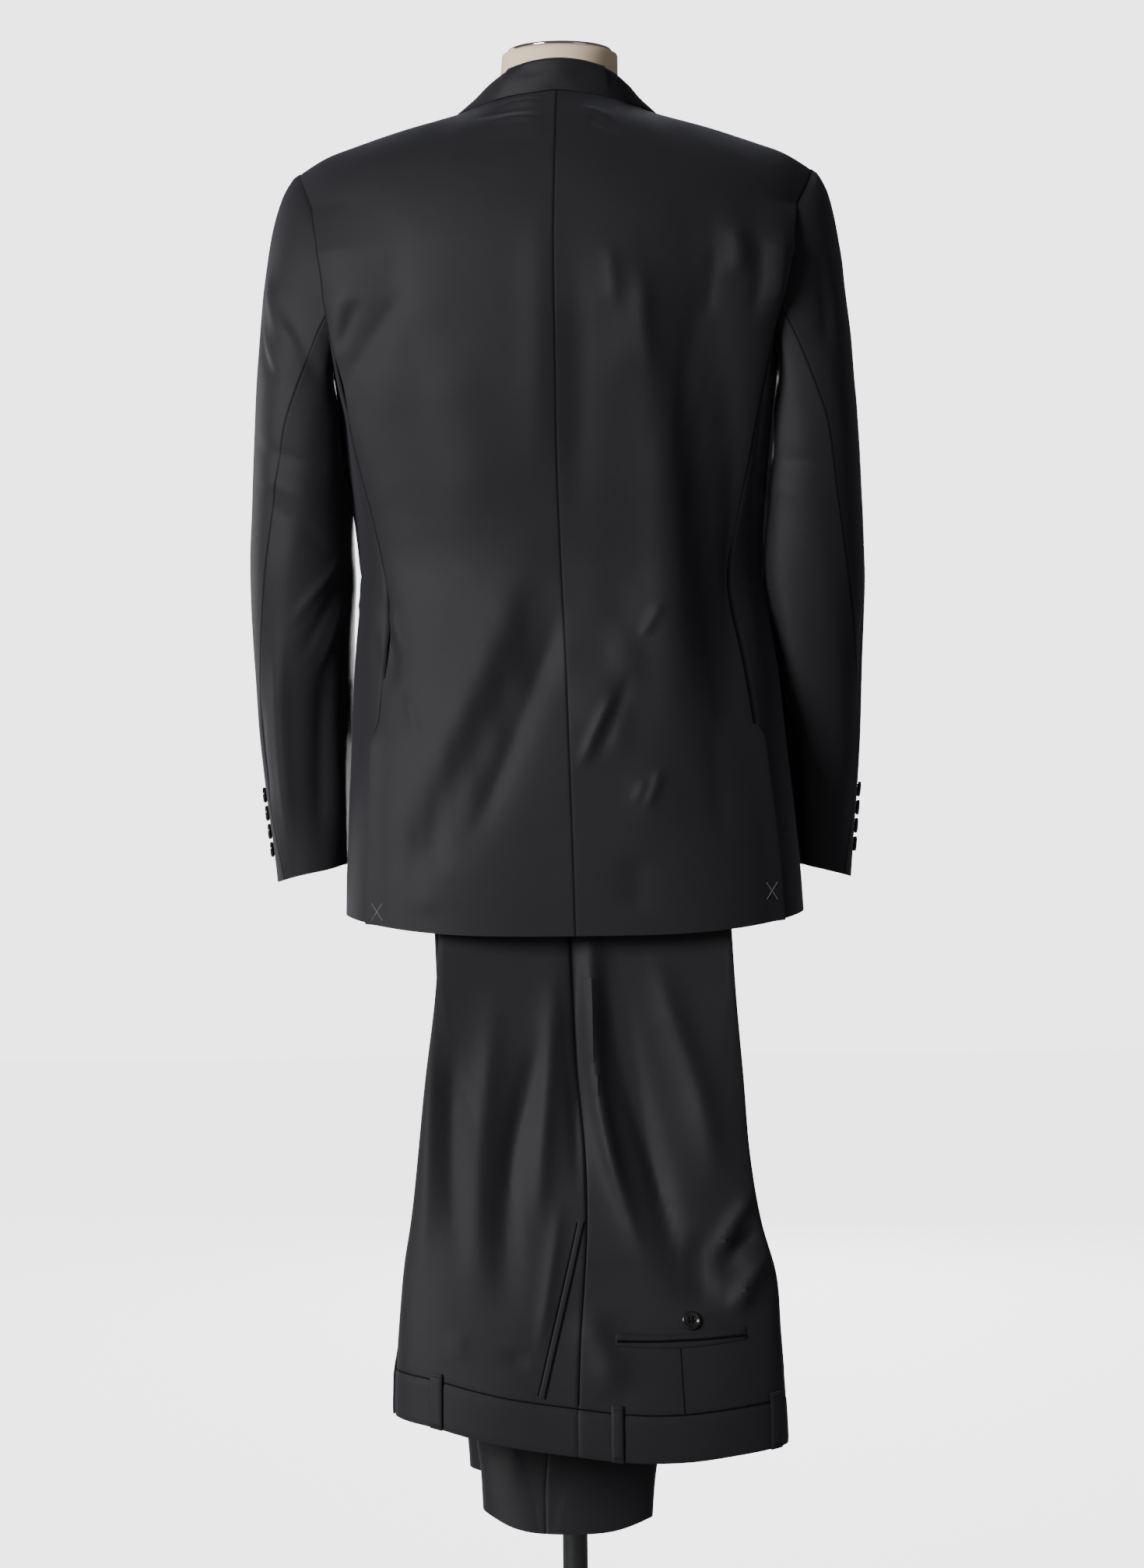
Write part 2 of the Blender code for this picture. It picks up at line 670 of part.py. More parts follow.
# Middle of the collar's cloth on the wearer's right: where it is sewn on, its fold and its free edge
COLLAR = table(
    "share seam_x seam_y seam_z fold_x fold_y fold_z edge_x edge_y edge_z",
    (0.00, 0.0000, -0.0660, 1.5515, 0.0000, -0.0605, 1.5765, 0.0000, -0.0830, 1.5450),
    (0.20, 0.0420, -0.0540, 1.5515, 0.0400, -0.0495, 1.5750, 0.0535, -0.0690, 1.5410),
    (0.38, 0.0680, -0.0260, 1.5515, 0.0575, -0.0230, 1.5735, 0.0840, -0.0330, 1.5380),
    (0.52, 0.0735, 0.0020, 1.5510, 0.0585, 0.0050, 1.5700, 0.0960, 0.0050, 1.5380),
    (0.70, 0.0690, 0.0290, 1.5350, 0.0605, 0.0350, 1.5450, 0.1060, 0.0380, 1.5160),
    (0.86, 0.0590, 0.0560, 1.5060, 0.0555, 0.0630, 1.5100, 0.1090, 0.0600, 1.4980),
    (1.00, 0.0515, 0.0725, 1.4810, 0.0510, 0.0810, 1.4815, 0.1100, 0.0760, 1.4860),
)
COLLAR_SECTIONS = 10
# Across the collar: share of the way from seam to fold (stand) or fold to edge (fall), how far it bows out,
# and how far its front end drops to the gorge seam
COLLAR_ACROSS = (
    ("stand", 0.0, 0.0, 0.0),
    ("stand", 0.55, 0.0, 0.0),
    ("stand", 0.93, 0.6 * MM, 0.0),
    ("fall", 0.07, 2.0 * MM, 1.0 * MM),
    ("fall", 0.35, 1.4 * MM, 8.0 * MM),
    ("fall", 0.62, 1.0 * MM, 15.0 * MM),
    ("fall", 1.0, 0.0, 0.0),
)
COLLAR_CLEARANCE = 2.1 * MM
NOTCH_START = 0.80


def collar_middle(share):
    """Rows of the collar's middle surface on the wearer's right, from the centre back to its front end."""
    place = {
        part: np.stack([at(COLLAR, f"{part}_{axis}", share) for axis in "xyz"], axis=-1)
        for part in ("seam", "fold", "edge")
    }
    outward = unit(place["edge"] - place["seam"] + np.array([0, 0, 0.02]))
    grid = []
    end_drop = smooth((share - NOTCH_START) / (1 - NOTCH_START))
    for stretch, along, bow, drop in COLLAR_ACROSS:
        start, end = (place["seam"], place["fold"]) if stretch == "stand" else (place["fold"], place["edge"])
        points = start + along * (end - start) + bow * outward
        points[:, 2] -= drop * end_drop
        if stretch == "fall":
            points = push_out(points, COLLAR_CLEARANCE)
        grid.append(points)
    return np.stack(grid, axis=1)


def grid_normals(grid):
    """Unit normals of a grid of points, from its neighbours."""
    along = np.gradient(grid, axis=0)
    across = np.gradient(grid, axis=1)
    return unit(np.cross(along, across))


def make_collar():
    half = collar_middle(np.linspace(0, 1, COLLAR_SECTIONS + 1))
    left = placed(half[:0:-1], LEFT)
    grid = np.concatenate([left, placed(half, RIGHT)])
    normal = grid_normals(grid) * COLLAR_WALL / 2
    wall("collar", grid + normal, grid - normal, wool("collar"))


# The lapel: height on the roll line, height at its outer edge and its width there
LAPEL = table(
    "share roll_z edge_z width",
    (0.00, 1.136, 1.134, 0.004),
    (0.20, 1.205, 1.200, 0.034),
    (0.40, 1.275, 1.262, 0.057),
    (0.60, 1.345, 1.322, 0.073),
    (0.80, 1.4120, 1.382, 0.083),
    (1.00, 1.4775, 1.451, 0.086),
)
LAPEL_ROWS = 9
LAPEL_ROLL = 3.5 * MM
LAPEL_GAP = 1.4 * MM


def make_lapel(side):
    name = "lapel_right" if side == RIGHT else "lapel_left"
    share = np.linspace(0, 1, LAPEL_ROWS + 1)[:, None]
    across = np.array([0.0, 0.12, 0.4, 0.7, 1.0])
    roll_z, edge_z = at(LAPEL, "roll_z", share), at(LAPEL, "edge_z", share)
    z = roll_z + across * (edge_z - roll_z)
    x = at(FRONT_EDGE, "x", roll_z) - 0.3 * MM + across * at(LAPEL, "width", share)
    under = on_jacket(x, z, True)
    normal = jacket_normal(under)
    lift = LAPEL_GAP + LAPEL_ROLL * np.sin(np.minimum(across * 1.6, 1) * math.pi) * smooth(share * 4)
    lift = lift + overlap_lift(under, side)
    lift = lift + np.maximum(0, fold_depth(FRONT_FOLDS, side * x, z))
    inner = under + lift[..., None] * normal
    wall(name, placed(inner + JACKET_WALL * normal, side), placed(inner, side), wool(name))


def make_patch(name, side, angles, lows, highs):
    """A flat piece of cloth laid on the jacket between two heights at each end."""
    share = np.linspace(0, 1, PATCH_COLUMNS + 1)
    angle = angles[0] + share * (angles[1] - angles[0])
    low = lows[0] + share * (lows[1] - lows[0])
    high = highs[0] + share * (highs[1] - highs[0])
    z = low + np.linspace(0, 1, PATCH_ROWS + 1)[:, None] * (high - low)
    under = around(angle + 0 * z, z)
    normal = jacket_normal(under)
    fold = np.maximum(0, fold_depth(FRONT_FOLDS, side * under[..., 0], z))
    inner = under + (LAID_GAP + fold + overlap_lift(under, side))[..., None] * normal
    wall(name, placed(inner + PATCH_WALL * normal, side), placed(inner, side), wool(name))


# Pieces that lie on the fronts: angles and heights from their side edge to their centre edge
PATCH_COLUMNS, PATCH_ROWS = 5, 2
FLAP_ANGLES = (9, 42)
FLAP_LOW = (0.972, 0.962)
FLAP_HIGH = (1.024, 1.016)
WELT_ANGLES = (40, 62)
WELT_LOW = (1.322, 1.310)
WELT_HIGH = (1.346, 1.334)


def front_button(name, z):
    """A button on the wearer's left front, at the centre."""
    place = on_jacket(np.array([0.001]), np.array([z]), True)[0]
    normal = jacket_normal(place[None])[0]
    seat = place + (OVERLAP_LIFT + SEAM_GAP) * normal
    centre = placed(seat, LEFT)
    button(name, centre, normal * np.array([-1, 1, 1]), 9 * MM)


CUFF_BUTTON_ANGLE = 4
CUFF_BUTTON_LOW = 1.925
CUFF_BUTTON_PITCH = 0.0415


def cuff_buttons(side):
    word = "right" if side == RIGHT else "left"
    for number in range(4):
        row = np.array([CUFF_BUTTON_LOW - number * CUFF_BUTTON_PITCH])
        angle = np.array([float(CUFF_BUTTON_ANGLE)])
        normal = sleeve_normal(angle, row, side)[0]
        seat = sleeve_surface(angle, row, side)[0] + SEAM_GAP * normal
        turn = np.array([side, 1, 1])
        button(f"cuff_button_{word}_{number + 1}", placed(seat, side), normal * turn, 7.2 * MM)


def make_jacket():
    back, side_piece, front = back_grid(), side_grid(), front_grid()
    for side, word in ((RIGHT, "right"), (LEFT, "left")):
        jacket_panel(f"back_{word}", inward_of_seam(back, False), side, BACK_FOLDS)
        jacket_panel(f"side_{word}", side_piece, side)
        jacket_panel(
            f"front_{word}", inward_of_seam(front, True), side, FRONT_FOLDS, overlap_lift(front, side)
        )
        sleeve_panel(f"sleeve_top_{word}", side, FRONT_SEAM_ANGLE - 360, TOP_COLUMNS, -SLEEVE_SEAM_TURN)
        sleeve_panel(f"sleeve_under_{word}", side, FRONT_SEAM_ANGLE, UNDER_COLUMNS, SLEEVE_SEAM_TURN)
        make_lapel(side)
        make_patch(f"flap_{word}", side, FLAP_ANGLES, FLAP_LOW, FLAP_HIGH)
        cuff_buttons(side)
    make_patch("breast_welt", LEFT, WELT_ANGLES, WELT_LOW, WELT_HIGH)
    make_collar()
    front_button("front_button_top", TOP_BUTTON_Z - 0.012)
    front_button("front_button_low", LOW_BUTTON_Z)


# Trousers
# Both legs hang as flat tubes over the bar, the right leg outside the left one. Each point has a place along
# the cloth (near stretch, round the bar, far stretch), a place across it and a height off the middle of the
# stack, towards the outside of the fold for the right leg and towards its inside for the left leg.

LEG_HALF = 1.0 * MM
LEG_CENTRE = 1.85 * MM
STACK_RADIUS = BAR_RADIUS + 0.5 * MM + 2 * LEG_HALF + TROUSER_WALL + 0.25 * MM

# Near stretch, from the waist up: middle of the stack, edges and outseam across, half depth of the whole
# stack, half depth at its ends and the share of each half that rounds away to the crease
NEAR = table(
    "z middle front_edge outseam back_edge spread round",
    (0.348, -0.1680, -0.1530, 0.0040, 0.1845, 0.0465, 0.75),
    (0.386, -0.1635, -0.1520, 0.0040, 0.1830, 0.0440, 0.75),
    (0.440, -0.1555, -0.1490, 0.0060, 0.1800, 0.0370, 0.72),
    (0.495, -0.1465, -0.1450, 0.0100, 0.1765, 0.0285, 0.70),
    (0.535, -0.1395, -0.1400, 0.0125, 0.1660, 0.0215, 0.65),
    (0.600, -0.1300, -0.1335, 0.0120, 0.1560, 0.0115, 0.45),
    (0.660, -0.1225, -0.1275, 0.0070, 0.1520, 0.0065, 0.25),
    (0.740, -0.1165, -0.1175, 0.0030, 0.1460, 0.0035, 0.06),
    (0.803, -0.1148, -0.1130, 0.0010, 0.1425, 0.00285, 0.04),
)

# Far stretch, from the hems up: middle of the stack, edges and outseam, each leg's centre off the middle and
# the half depth of the right and left leg, which open to ovals at their hems
FAR = table(
    "z middle front_edge outseam back_edge centre right_half left_half round left_shift",
    (0.260, -0.0685, -0.0930, -0.0250, 0.0620, 0.0280, 0.0220, 0.0330, 0.90, 0.0125),
    (0.300, -0.0690, -0.0945, -0.0255, 0.0655, 0.0255, 0.0195, 0.0240, 0.80, 0.0120),
    (0.340, -0.0700, -0.0960, -0.0230, 0.0720, 0.0215, 0.0150, 0.0175, 0.60, 0.0100),
    (0.430, -0.0735, -0.1000, -0.0160, 0.0860, 0.0155, 0.0090, 0.0100, 0.30, 0.0040),
    (0.530, -0.0790, -0.1045, -0.0080, 0.1010, 0.0100, 0.0050, 0.0055, 0.15, 0.0000),
    (0.650, -0.0855, -0.1090, -0.0020, 0.1200, 0.0050, 0.0022, 0.0024, 0.06, -0.0040),
    (0.740, -0.0895, -0.1115, 0.0000, 0.1340, 0.0025, 0.0011, 0.0011, 0.04, -0.0055),
    (0.803, -0.09125, -0.1130, 0.0010, 0.1425, 0.00185, 0.0010, 0.0010, 0.04, -0.0060),
)

CROTCH_Z = 0.605
WAIST_SEAM_Z = 0.386
WAIST_Z = 0.348
NEAR_ROWS = (WAIST_SEAM_Z, 0.415, 0.445, 0.480, 0.510, 0.535, 0.565, CROTCH_Z, 0.655, 0.705, 0.755)
BAR_TURNS = np.radians([0, 30, 60, 90, 120, 150, 180])
FAR_ROWS = (0.740, 0.670, 0.590, 0.510, 0.430, 0.370, 0.320)
HEM_Z = {RIGHT: 0.288, LEFT: 0.266}
WAIST_SHIFT = -0.006
# How much higher the waist hangs than its lowest point, across it
WAIST_RISE = table(
    "x rise",
    (-0.160, 0.0355),
    (-0.140, 0.0325),
    (-0.119, 0.0297),
    (-0.093, 0.0236),
    (-0.059, 0.0162),
    (-0.026, 0.0108),
    (0.008, 0.0061),
    (0.0385, 0.0020),
    (0.089, 0.0),
    (0.143, 0.0040),
    (0.186, 0.0075),
)
# How much higher each hem hangs than its lowest point
HEM_RISE = table(
    "x rise",
    (-0.105, 0.020),
    (-0.080, 0.016),
    (-0.055, 0.006),
    (0.0, 0.0),
    (0.035, 0.001),
    (0.065, 0.008),
)
RAISE_TOP_Z = 0.600
HEM_RAISE_TOP_Z = 0.350
FLAT_CELLS = 4
CREASE_CELLS = 4
# How much of the inner half of each leg is left above the crotch, along the fork seam, row by row
FORK = {"front": {0.565: 0.5, 0.535: 0.15}, "back": {0.565: 0.8, 0.535: 0.6, 0.510: 0.35, 0.480: 0.12}}

# Folds on the outside of the near stretch, at the back of the stand
TROUSER_FOLDS = (
    ("ridge beside the outseam", 9 * MM, 2.5 * MM, (0.012, 0.790), (0.016, 0.660), (0.028, 0.560)),
    ("ridge to the left", 12 * MM, 3.0 * MM, (-0.020, 0.665), (-0.026, 0.560)),
    ("slanting ridge", 14 * MM, 3.0 * MM, (0.055, 0.740), (0.085, 0.620), (0.125, 0.500)),
    ("seat ridge", 13 * MM, 3.5 * MM, (0.132, 0.560), (0.146, 0.490)),
    ("front crease ridge", 9 * MM, 2.0 * MM, (-0.132, 0.740), (-0.134, 0.560), (-0.130, 0.440)),
)


class Row:
    """One row across the trousers: where its middle is, which way is out, and its sizes there."""

    def __init__(self, y, z, out, sizes):
        self.y, self.z, self.out = y, z, np.array(out, float)
        self.__dict__.update(sizes)

    def edge(self, side, part):
        """Where the front or back crease is. The left leg lies a little to one side of the right."""
        shift = self.left_shift if side == LEFT else 0.0
        return self.front_edge + shift if part == "front" else self.back_edge + shift / 2


def near_row(z):
    names = ("middle", "front_edge", "outseam", "back_edge", "spread", "round")
    sizes = {name: float(at(NEAR, name, z)) for name in names}
    middle = sizes.pop("middle")
    ends = {part: LEG_CENTRE if z >= CROTCH_Z or z in FORK[part] else SEAM_GAP / 2 for part in FORK}
    sizes |= {"ends": ends, "inner": LEG_CENTRE - LEG_HALF, "left_shift": WAIST_SHIFT}
    return Row(middle, z, (-1, 0), sizes)


def bar_row(turn):
    out = (-math.cos(turn), math.sin(turn))
    row = near_row(BAR_Z)
    row.y, row.z, row.out = BAR_Y + STACK_RADIUS * out[0], BAR_Z + STACK_RADIUS * out[1], np.array(out)
    return row


def far_row(z, side):
    names = ("middle", "front_edge", "outseam", "back_edge", "centre", "round", "left_shift")
    sizes = {name: float(at(FAR, name, z)) for name in names}
    half = float(at(FAR, "right_half" if side == RIGHT else "left_half", z))
    centre = sizes.pop("centre")
    middle = sizes.pop("middle")
    sizes |= {"ends": {"front": centre, "back": centre}, "spread": centre + half, "inner": centre - half}
    return Row(middle, z, (1, 0), sizes)


def raised(x, z, near):
    """How far the cloth at x is raised by the slant of the waist or of the hems."""
    if near:
        return float(smooth((RAISE_TOP_Z - z) / (RAISE_TOP_Z - WAIST_SEAM_Z)) * at(WAIST_RISE, "rise", x))
    return float(smooth((HEM_RAISE_TOP_Z - z) / (HEM_RAISE_TOP_Z - HEM_Z[RIGHT])) * at(HEM_RISE, "rise", x))


def trouser_rows(side):
    rows = [near_row(z) for z in NEAR_ROWS]
    rows += [bar_row(turn) for turn in BAR_TURNS]
    rows += [far_row(z, side) for z in FAR_ROWS]
    rows.append(far_row(HEM_Z[side], side))
    return rows


def across_cells(cells_flat, cells_crease):
    """Steps from the outseam to the crease: along the flat cloth first, then round the crease."""
    flat = [("flat", step / cells_flat) for step in range(cells_flat)]
    return flat + [("crease", step / cells_crease) for step in range(cells_crease + 1)]


def trouser_point(row, side, part, stretch, share, inner_half, face, keep=1.0):
    """One point of a leg. `face` is 1 for the cloth's outside and -1 for its inside."""
    proud = face * TROUSER_WALL / 2
    direction = -1 if part == "front" else 1
    end = row.ends[part]
    width = abs(row.edge(side, part) - row.outseam)
    rounding = max(width * row.round, LEG_HALF * 2)
    if stretch == "flat":
        along, lift = (width - rounding) * share, 1.0
    else:
        turn = share * math.pi / 2
        along, lift = width - rounding + (rounding + proud) * math.sin(turn), math.cos(turn)
    if inner_half:
        along = width + (along - width) * keep
        height = end - (end - row.inner + proud) * lift
    else:
        height = end + (row.spread - end + proud) * lift
    x = row.outseam + direction * along
    if along == 0:
        x += direction * SEAM_GAP / 2
    if row.out[0] == -1 and not inner_half and side == RIGHT:
        height += float(fold_depth(TROUSER_FOLDS, x, row.z))
    y = row.y + side * height * row.out[0]
    z = row.z + side * height * row.out[1]
    if abs(row.out[0]) == 1:
        z += raised(x, row.z, row.out[0] == -1)
    return (x, y, z)


def trouser_panel(side, part):
    """A front or a back of one leg: its outer half, its crease and its inner half up to the fork seam."""
    outer_half = across_cells(FLAT_CELLS, CREASE_CELLS)
    inner_half = list(reversed(across_cells(1, 2)))[1:]
    columns = [(stretch, share, False) for stretch, share in outer_half]
    columns += [(stretch, share, True) for stretch, share in inner_half]
    rows = trouser_rows(side)
    fork = FORK[part]
    grids = []
    for face in (1, -1):
        grid = []
        for row in rows:
            keep = fork.get(row.z, 1.0)
            grid.append([trouser_point(row, side, part, *column, face, keep) for column in columns])
        grids.append(np.array(grid))
    whole = len(outer_half) - 1
    keep = np.ones((len(rows) - 1, len(columns) - 1), bool)
    first_row = min(index for index, row in enumerate(rows) if row.z in fork or row.z == CROTCH_Z)
    keep[:first_row, whole:] = False
    word = "right" if side == RIGHT else "left"
    name = f"trouser_{part}_{word}"
    return wall(name, grids[0], grids[1], wool(name), keep)


def waist_surface(side, x, z):
    """The outside of the trousers on the near stretch at x; the right half faces -Y."""
    row = near_row(z)
    part = "front" if x < row.outseam else "back"
    width = abs(row.edge(side, part) - row.outseam)
    rounding = max(width * row.round, LEG_HALF * 2)
    along = abs(x - row.outseam)
    past = np.clip((along - (width - rounding)) / (rounding + TROUSER_WALL / 2), 0, 1)
    lift = math.sqrt(1 - past**2)
    end = row.ends[part]
    height = end + (row.spread - end + TROUSER_WALL / 2) * lift
    if side == RIGHT:
        height += float(fold_depth(TROUSER_FOLDS, x, z))
    return np.array([x, row.y - side * height, z + raised(x, z, True)])


def waist_normal(side, x, z):
    step = MM
    across = waist_surface(side, x + step, z) - waist_surface(side, x - step, z)
    up = waist_surface(side, x, z + step) - waist_surface(side, x, z - step)
    normal = unit(np.cross(across, up))
    return normal if normal[1] * side < 0 else -normal


def make_waistband(side):
    """Half of the waistband, a thicker wall that carries on from the panels to the waist's edge."""
    word = "right" if side == RIGHT else "left"
    steps = across_cells(FLAT_CELLS, CREASE_CELLS)
    columns = [("front", *step) for step in reversed(steps)] + [("back", *step) for step in steps[1:]]
    heights = (WAIST_Z, (WAIST_Z + WAIST_SEAM_Z) / 2, WAIST_SEAM_Z - SEAM_GAP)
    extra = (BAND_WALL - TROUSER_WALL) / 2
    grids = []
    for face in (1, -1):
        grid = []
        for z in heights:
            row = near_row(z)
            line = []
            for part, stretch, share in columns:
                point = np.array(trouser_point(row, side, part, stretch, share, False, face))
                line.append(point)
            line = np.array(line)
            along = np.gradient(line, axis=0)
            out = unit(np.cross(along, [0, 0, 1]))
            out *= np.sign(-side * out[len(out) // 2, 1])
            grid.append(line + face * extra * out)
        grids.append(np.array(grid))
    for grid in grids:
        grid[:, [0, -1], 1] = row.y - side * SEAM_GAP / 2
    return wall(f"waistband_{word}", grids[0], grids[1], wool(f"waistband_{word}"))


def laid_on_trousers(name, side, lines):
    """A strip laid on the near stretch: each line is a list of (x, z) places across it."""
    outer, inner = [], []
    for line in lines:
        normals = [waist_normal(side, *place) for place in line]
        under = [waist_surface(side, *place) for place in line]
        inner.append([point + LAID_GAP * normal for point, normal in zip(under, normals)])
        outer.append([point + (LAID_GAP + STRIP_WALL) * normal for point, normal in zip(under, normals)])
    return wall(name, np.array(outer), np.array(inner), wool(name))


def strip(start, end, half_width):
    """Lines of (x, z) places along a straight strip, from start to end."""
    start, end = np.array(start), np.array(end)
    toward = unit(end - start)
    sideways = np.array([-toward[1], toward[0]]) * half_width
    lines = []
    for share in np.linspace(0, 1, STRIP_STEPS + 1):
        middle = start + share * (end - start)
        lines.append([tuple(middle - sideways), tuple(middle + sideways)])
    return lines


POCKET_START = (0.0085, 0.545)
POCKET_END = (-0.0270, 0.392)
WELT_START = (0.0365, 0.448)
WELT_END = (0.1480, 0.448)
BACK_BUTTON = (0.1015, 0.463)
BUTTON_RAISE = 0.1 * MM
LOOP_PLACES = (-0.1165, 0.0370, 0.1730)
LOOP_HALF_WIDTH = 5 * MM
LOOP_WALL = 1.4 * MM
STRIP_WALL = 1.2 * MM
LOOP_LOW, LOOP_HIGH = 0.344, 0.394
BAND_PROUD = 0.7 * MM
POCKET_HALF_WIDTH = 2.5 * MM
WELT_HALF_WIDTH = 5.5 * MM
FLY_HALF_WIDTH = 12 * MM
STRIP_STEPS = 6
FLY_START = (-0.1355, 0.398)
FLY_END = (-0.1290, 0.505)


def belt_loop(name, side, x):
    lines = []
    for z in np.linspace(LOOP_LOW, LOOP_HIGH, 4):
        z = max(z, WAIST_Z)
        lines.append([(x - LOOP_HALF_WIDTH, z), (x + LOOP_HALF_WIDTH, z)])
    heights = np.linspace(LOOP_LOW, LOOP_HIGH, 4)
    outer, inner = [], []
    for line, z in zip(lines, heights):
        drop = np.array([0, 0, min(0.0, z - WAIST_Z)])
        under = [waist_surface(side, *place) + drop for place in line]
        normals = [waist_normal(side, *place) for place in line]
        for grid, proud in ((inner, BAND_PROUD + LAID_GAP), (outer, BAND_PROUD + LAID_GAP + LOOP_WALL)):
            grid.append([point + proud * normal for point, normal in zip(under, normals)])
    wall(name, np.array(outer), np.array(inner), wool(name))


def make_trousers():
    for side, word in ((RIGHT, "right"), (LEFT, "left")):
        trouser_panel(side, "front")
        trouser_panel(side, "back")
        make_waistband(side)
        laid_on_trousers(f"side_pocket_{word}", side, strip(POCKET_START, POCKET_END, POCKET_HALF_WIDTH))
        laid_on_trousers(f"back_welt_{word}", side, strip(WELT_START, WELT_END, WELT_HALF_WIDTH))
        normal = waist_normal(side, *BACK_BUTTON)
        seat = waist_surface(side, *BACK_BUTTON) + BUTTON_RAISE * normal
        button(f"back_button_{word}", seat, normal, 8 * MM)
        for number, place in enumerate(LOOP_PLACES):
            belt_loop(f"belt_loop_{word}_{number + 1}", side, place)
    laid_on_trousers("fly", LEFT, strip(FLY_START, FLY_END, FLY_HALF_WIDTH))


# Form and stand

FORM = table(
    "z half_width back front square",
    (0.875, 0.150, 0.098, 0.098, 2.3),
    (0.950, 0.163, 0.108, 0.105, 2.4),
    (1.030, 0.158, 0.104, 0.103, 2.4),
    (1.120, 0.146, 0.094, 0.099, 2.3),
    (1.200, 0.157, 0.103, 0.107, 2.4),
    (1.300, 0.172, 0.114, 0.111, 2.5),
    (1.360, 0.182, 0.115, 0.106, 2.5),
    (1.410, 0.196, 0.111, 0.094, 2.4),
    (1.450, 0.2065, 0.104, 0.080, 2.2),
    (1.475, 0.2080, 0.097, 0.066, 1.95),
    (1.490, 0.2050, 0.092, 0.057, 1.85),
    (1.4980, 0.1992, 0.089, 0.053, 1.8),
    (1.5061, 0.1850, 0.084, 0.046, 1.8),
    (1.5141, 0.1620, 0.078, 0.040, 1.75),
    (1.5216, 0.1350, 0.072, 0.036, 1.7),
    (1.5270, 0.1080, 0.067, 0.034, 1.7),
    (1.5330, 0.0830, 0.0625, 0.036, 1.8),
    (1.5410, 0.0670, 0.0585, 0.041, 1.95),
    (1.5530, 0.0570, 0.0555, 0.049, 2.0),
    (1.5700, 0.0545, 0.0550, 0.054, 2.0),
    (1.5900, 0.0535, 0.0545, 0.0545, 2.0),
)
FORM_RINGS = (
    0.875, 0.950, 1.030, 1.120, 1.200, 1.280, 1.350, 1.400, 1.435, 1.465, 1.482,
    1.4925, 1.500, 1.507, 1.5145, 1.522, 1.528, 1.534, 1.542, 1.554, 1.570, 1.592,
)
FORM_SIDES = 28
FORM_CAP_RADIUS = 0.0505


def make_form():
    points = [(float(at(LEAN, "shift", FORM_BOTTOM_Z)), 0, FORM_BOTTOM_Z)]
    turns = np.arange(FORM_SIDES) * 2 * math.pi / FORM_SIDES
    for z in FORM_RINGS:
        power = 2 / at(FORM, "square", z)
        cos, sin = np.cos(turns), np.sin(turns)
        depth = np.where(sin < 0, at(FORM, "back", z), at(FORM, "front", z))
        x = at(FORM, "half_width", z) * np.sign(cos) * np.abs(cos) ** power + at(LEAN, "shift", z)
        y = depth * np.sign(sin) * np.abs(sin) ** power
        points += list(zip(x, y, np.full(FORM_SIDES, z)))
    rim = FORM_CAP_RADIUS * np.stack([np.cos(turns), np.sin(turns)], axis=-1)
    points += [(x, y, NECK_CAP_Z) for x, y in rim]
    points.append((0, 0, NECK_CAP_Z))
    triangles, last = [], len(points) - 1
    rings = len(FORM_RINGS) + 1
    for one in range(FORM_SIDES):
        two = (one + 1) % FORM_SIDES
        triangles.append((0, 1 + two, 1 + one))
        for level in range(rings - 1):
            low, high = 1 + level * FORM_SIDES, 1 + (level + 1) * FORM_SIDES
            triangles += [(low + one, low + two, high + two), (low + one, high + two, high + one)]
        triangles.append((last - FORM_SIDES + one, last - FORM_SIDES + two, last))
    solid("form_bust", points, triangles, finish("form_bust", (0.61, 0.52, 0.40), 0.9))


def make_stand():
    steel = finish("pole", (0.017, 0.018, 0.019), 0.45, 0.4)
    base_top = BASE_HEIGHT + SEAM_GAP
    turned(
        "pole",
        ((0, base_top), (POLE_RADIUS, base_top), (POLE_RADIUS, POLE_TOP_Z), (0, POLE_TOP_Z)),
        (0, 0, 0),
        (0, 0, 1),
        20,
        steel,
    )
    turned(
        "base_plate",
        (
            (0, 0), (BASE_RADIUS, 0), (BASE_RADIUS, BASE_HEIGHT * 0.6),
            (BASE_RADIUS - BASE_BEVEL / 3, BASE_HEIGHT * 0.9), (BASE_RADIUS - BASE_BEVEL, BASE_HEIGHT),
            (0, BASE_HEIGHT),
        ),
        (0, 0, 0),
        (0, 0, 1),
        48,
        finish("base_plate", (0.017, 0.018, 0.019), 0.5, 0.4),
    )
    turned(
        "neck_ring",
        (
            (0, 0), (RING_RADIUS - 1.5 * MM, 0), (RING_RADIUS, 1.5 * MM), (RING_RADIUS - 0.5 * MM, 3.2 * MM),
            (RING_RADIUS - 2.5 * MM, 4.0 * MM), (RING_RADIUS - 8 * MM, RING_HEIGHT), (0, RING_HEIGHT),
        ),
        (0, 0, NECK_CAP_Z + SEAM_GAP),
        (0, 0, 1),
        32,
        finish("neck_ring", (0.75, 0.75, 0.76), 0.12, 1.0),
    )
    make_bar()


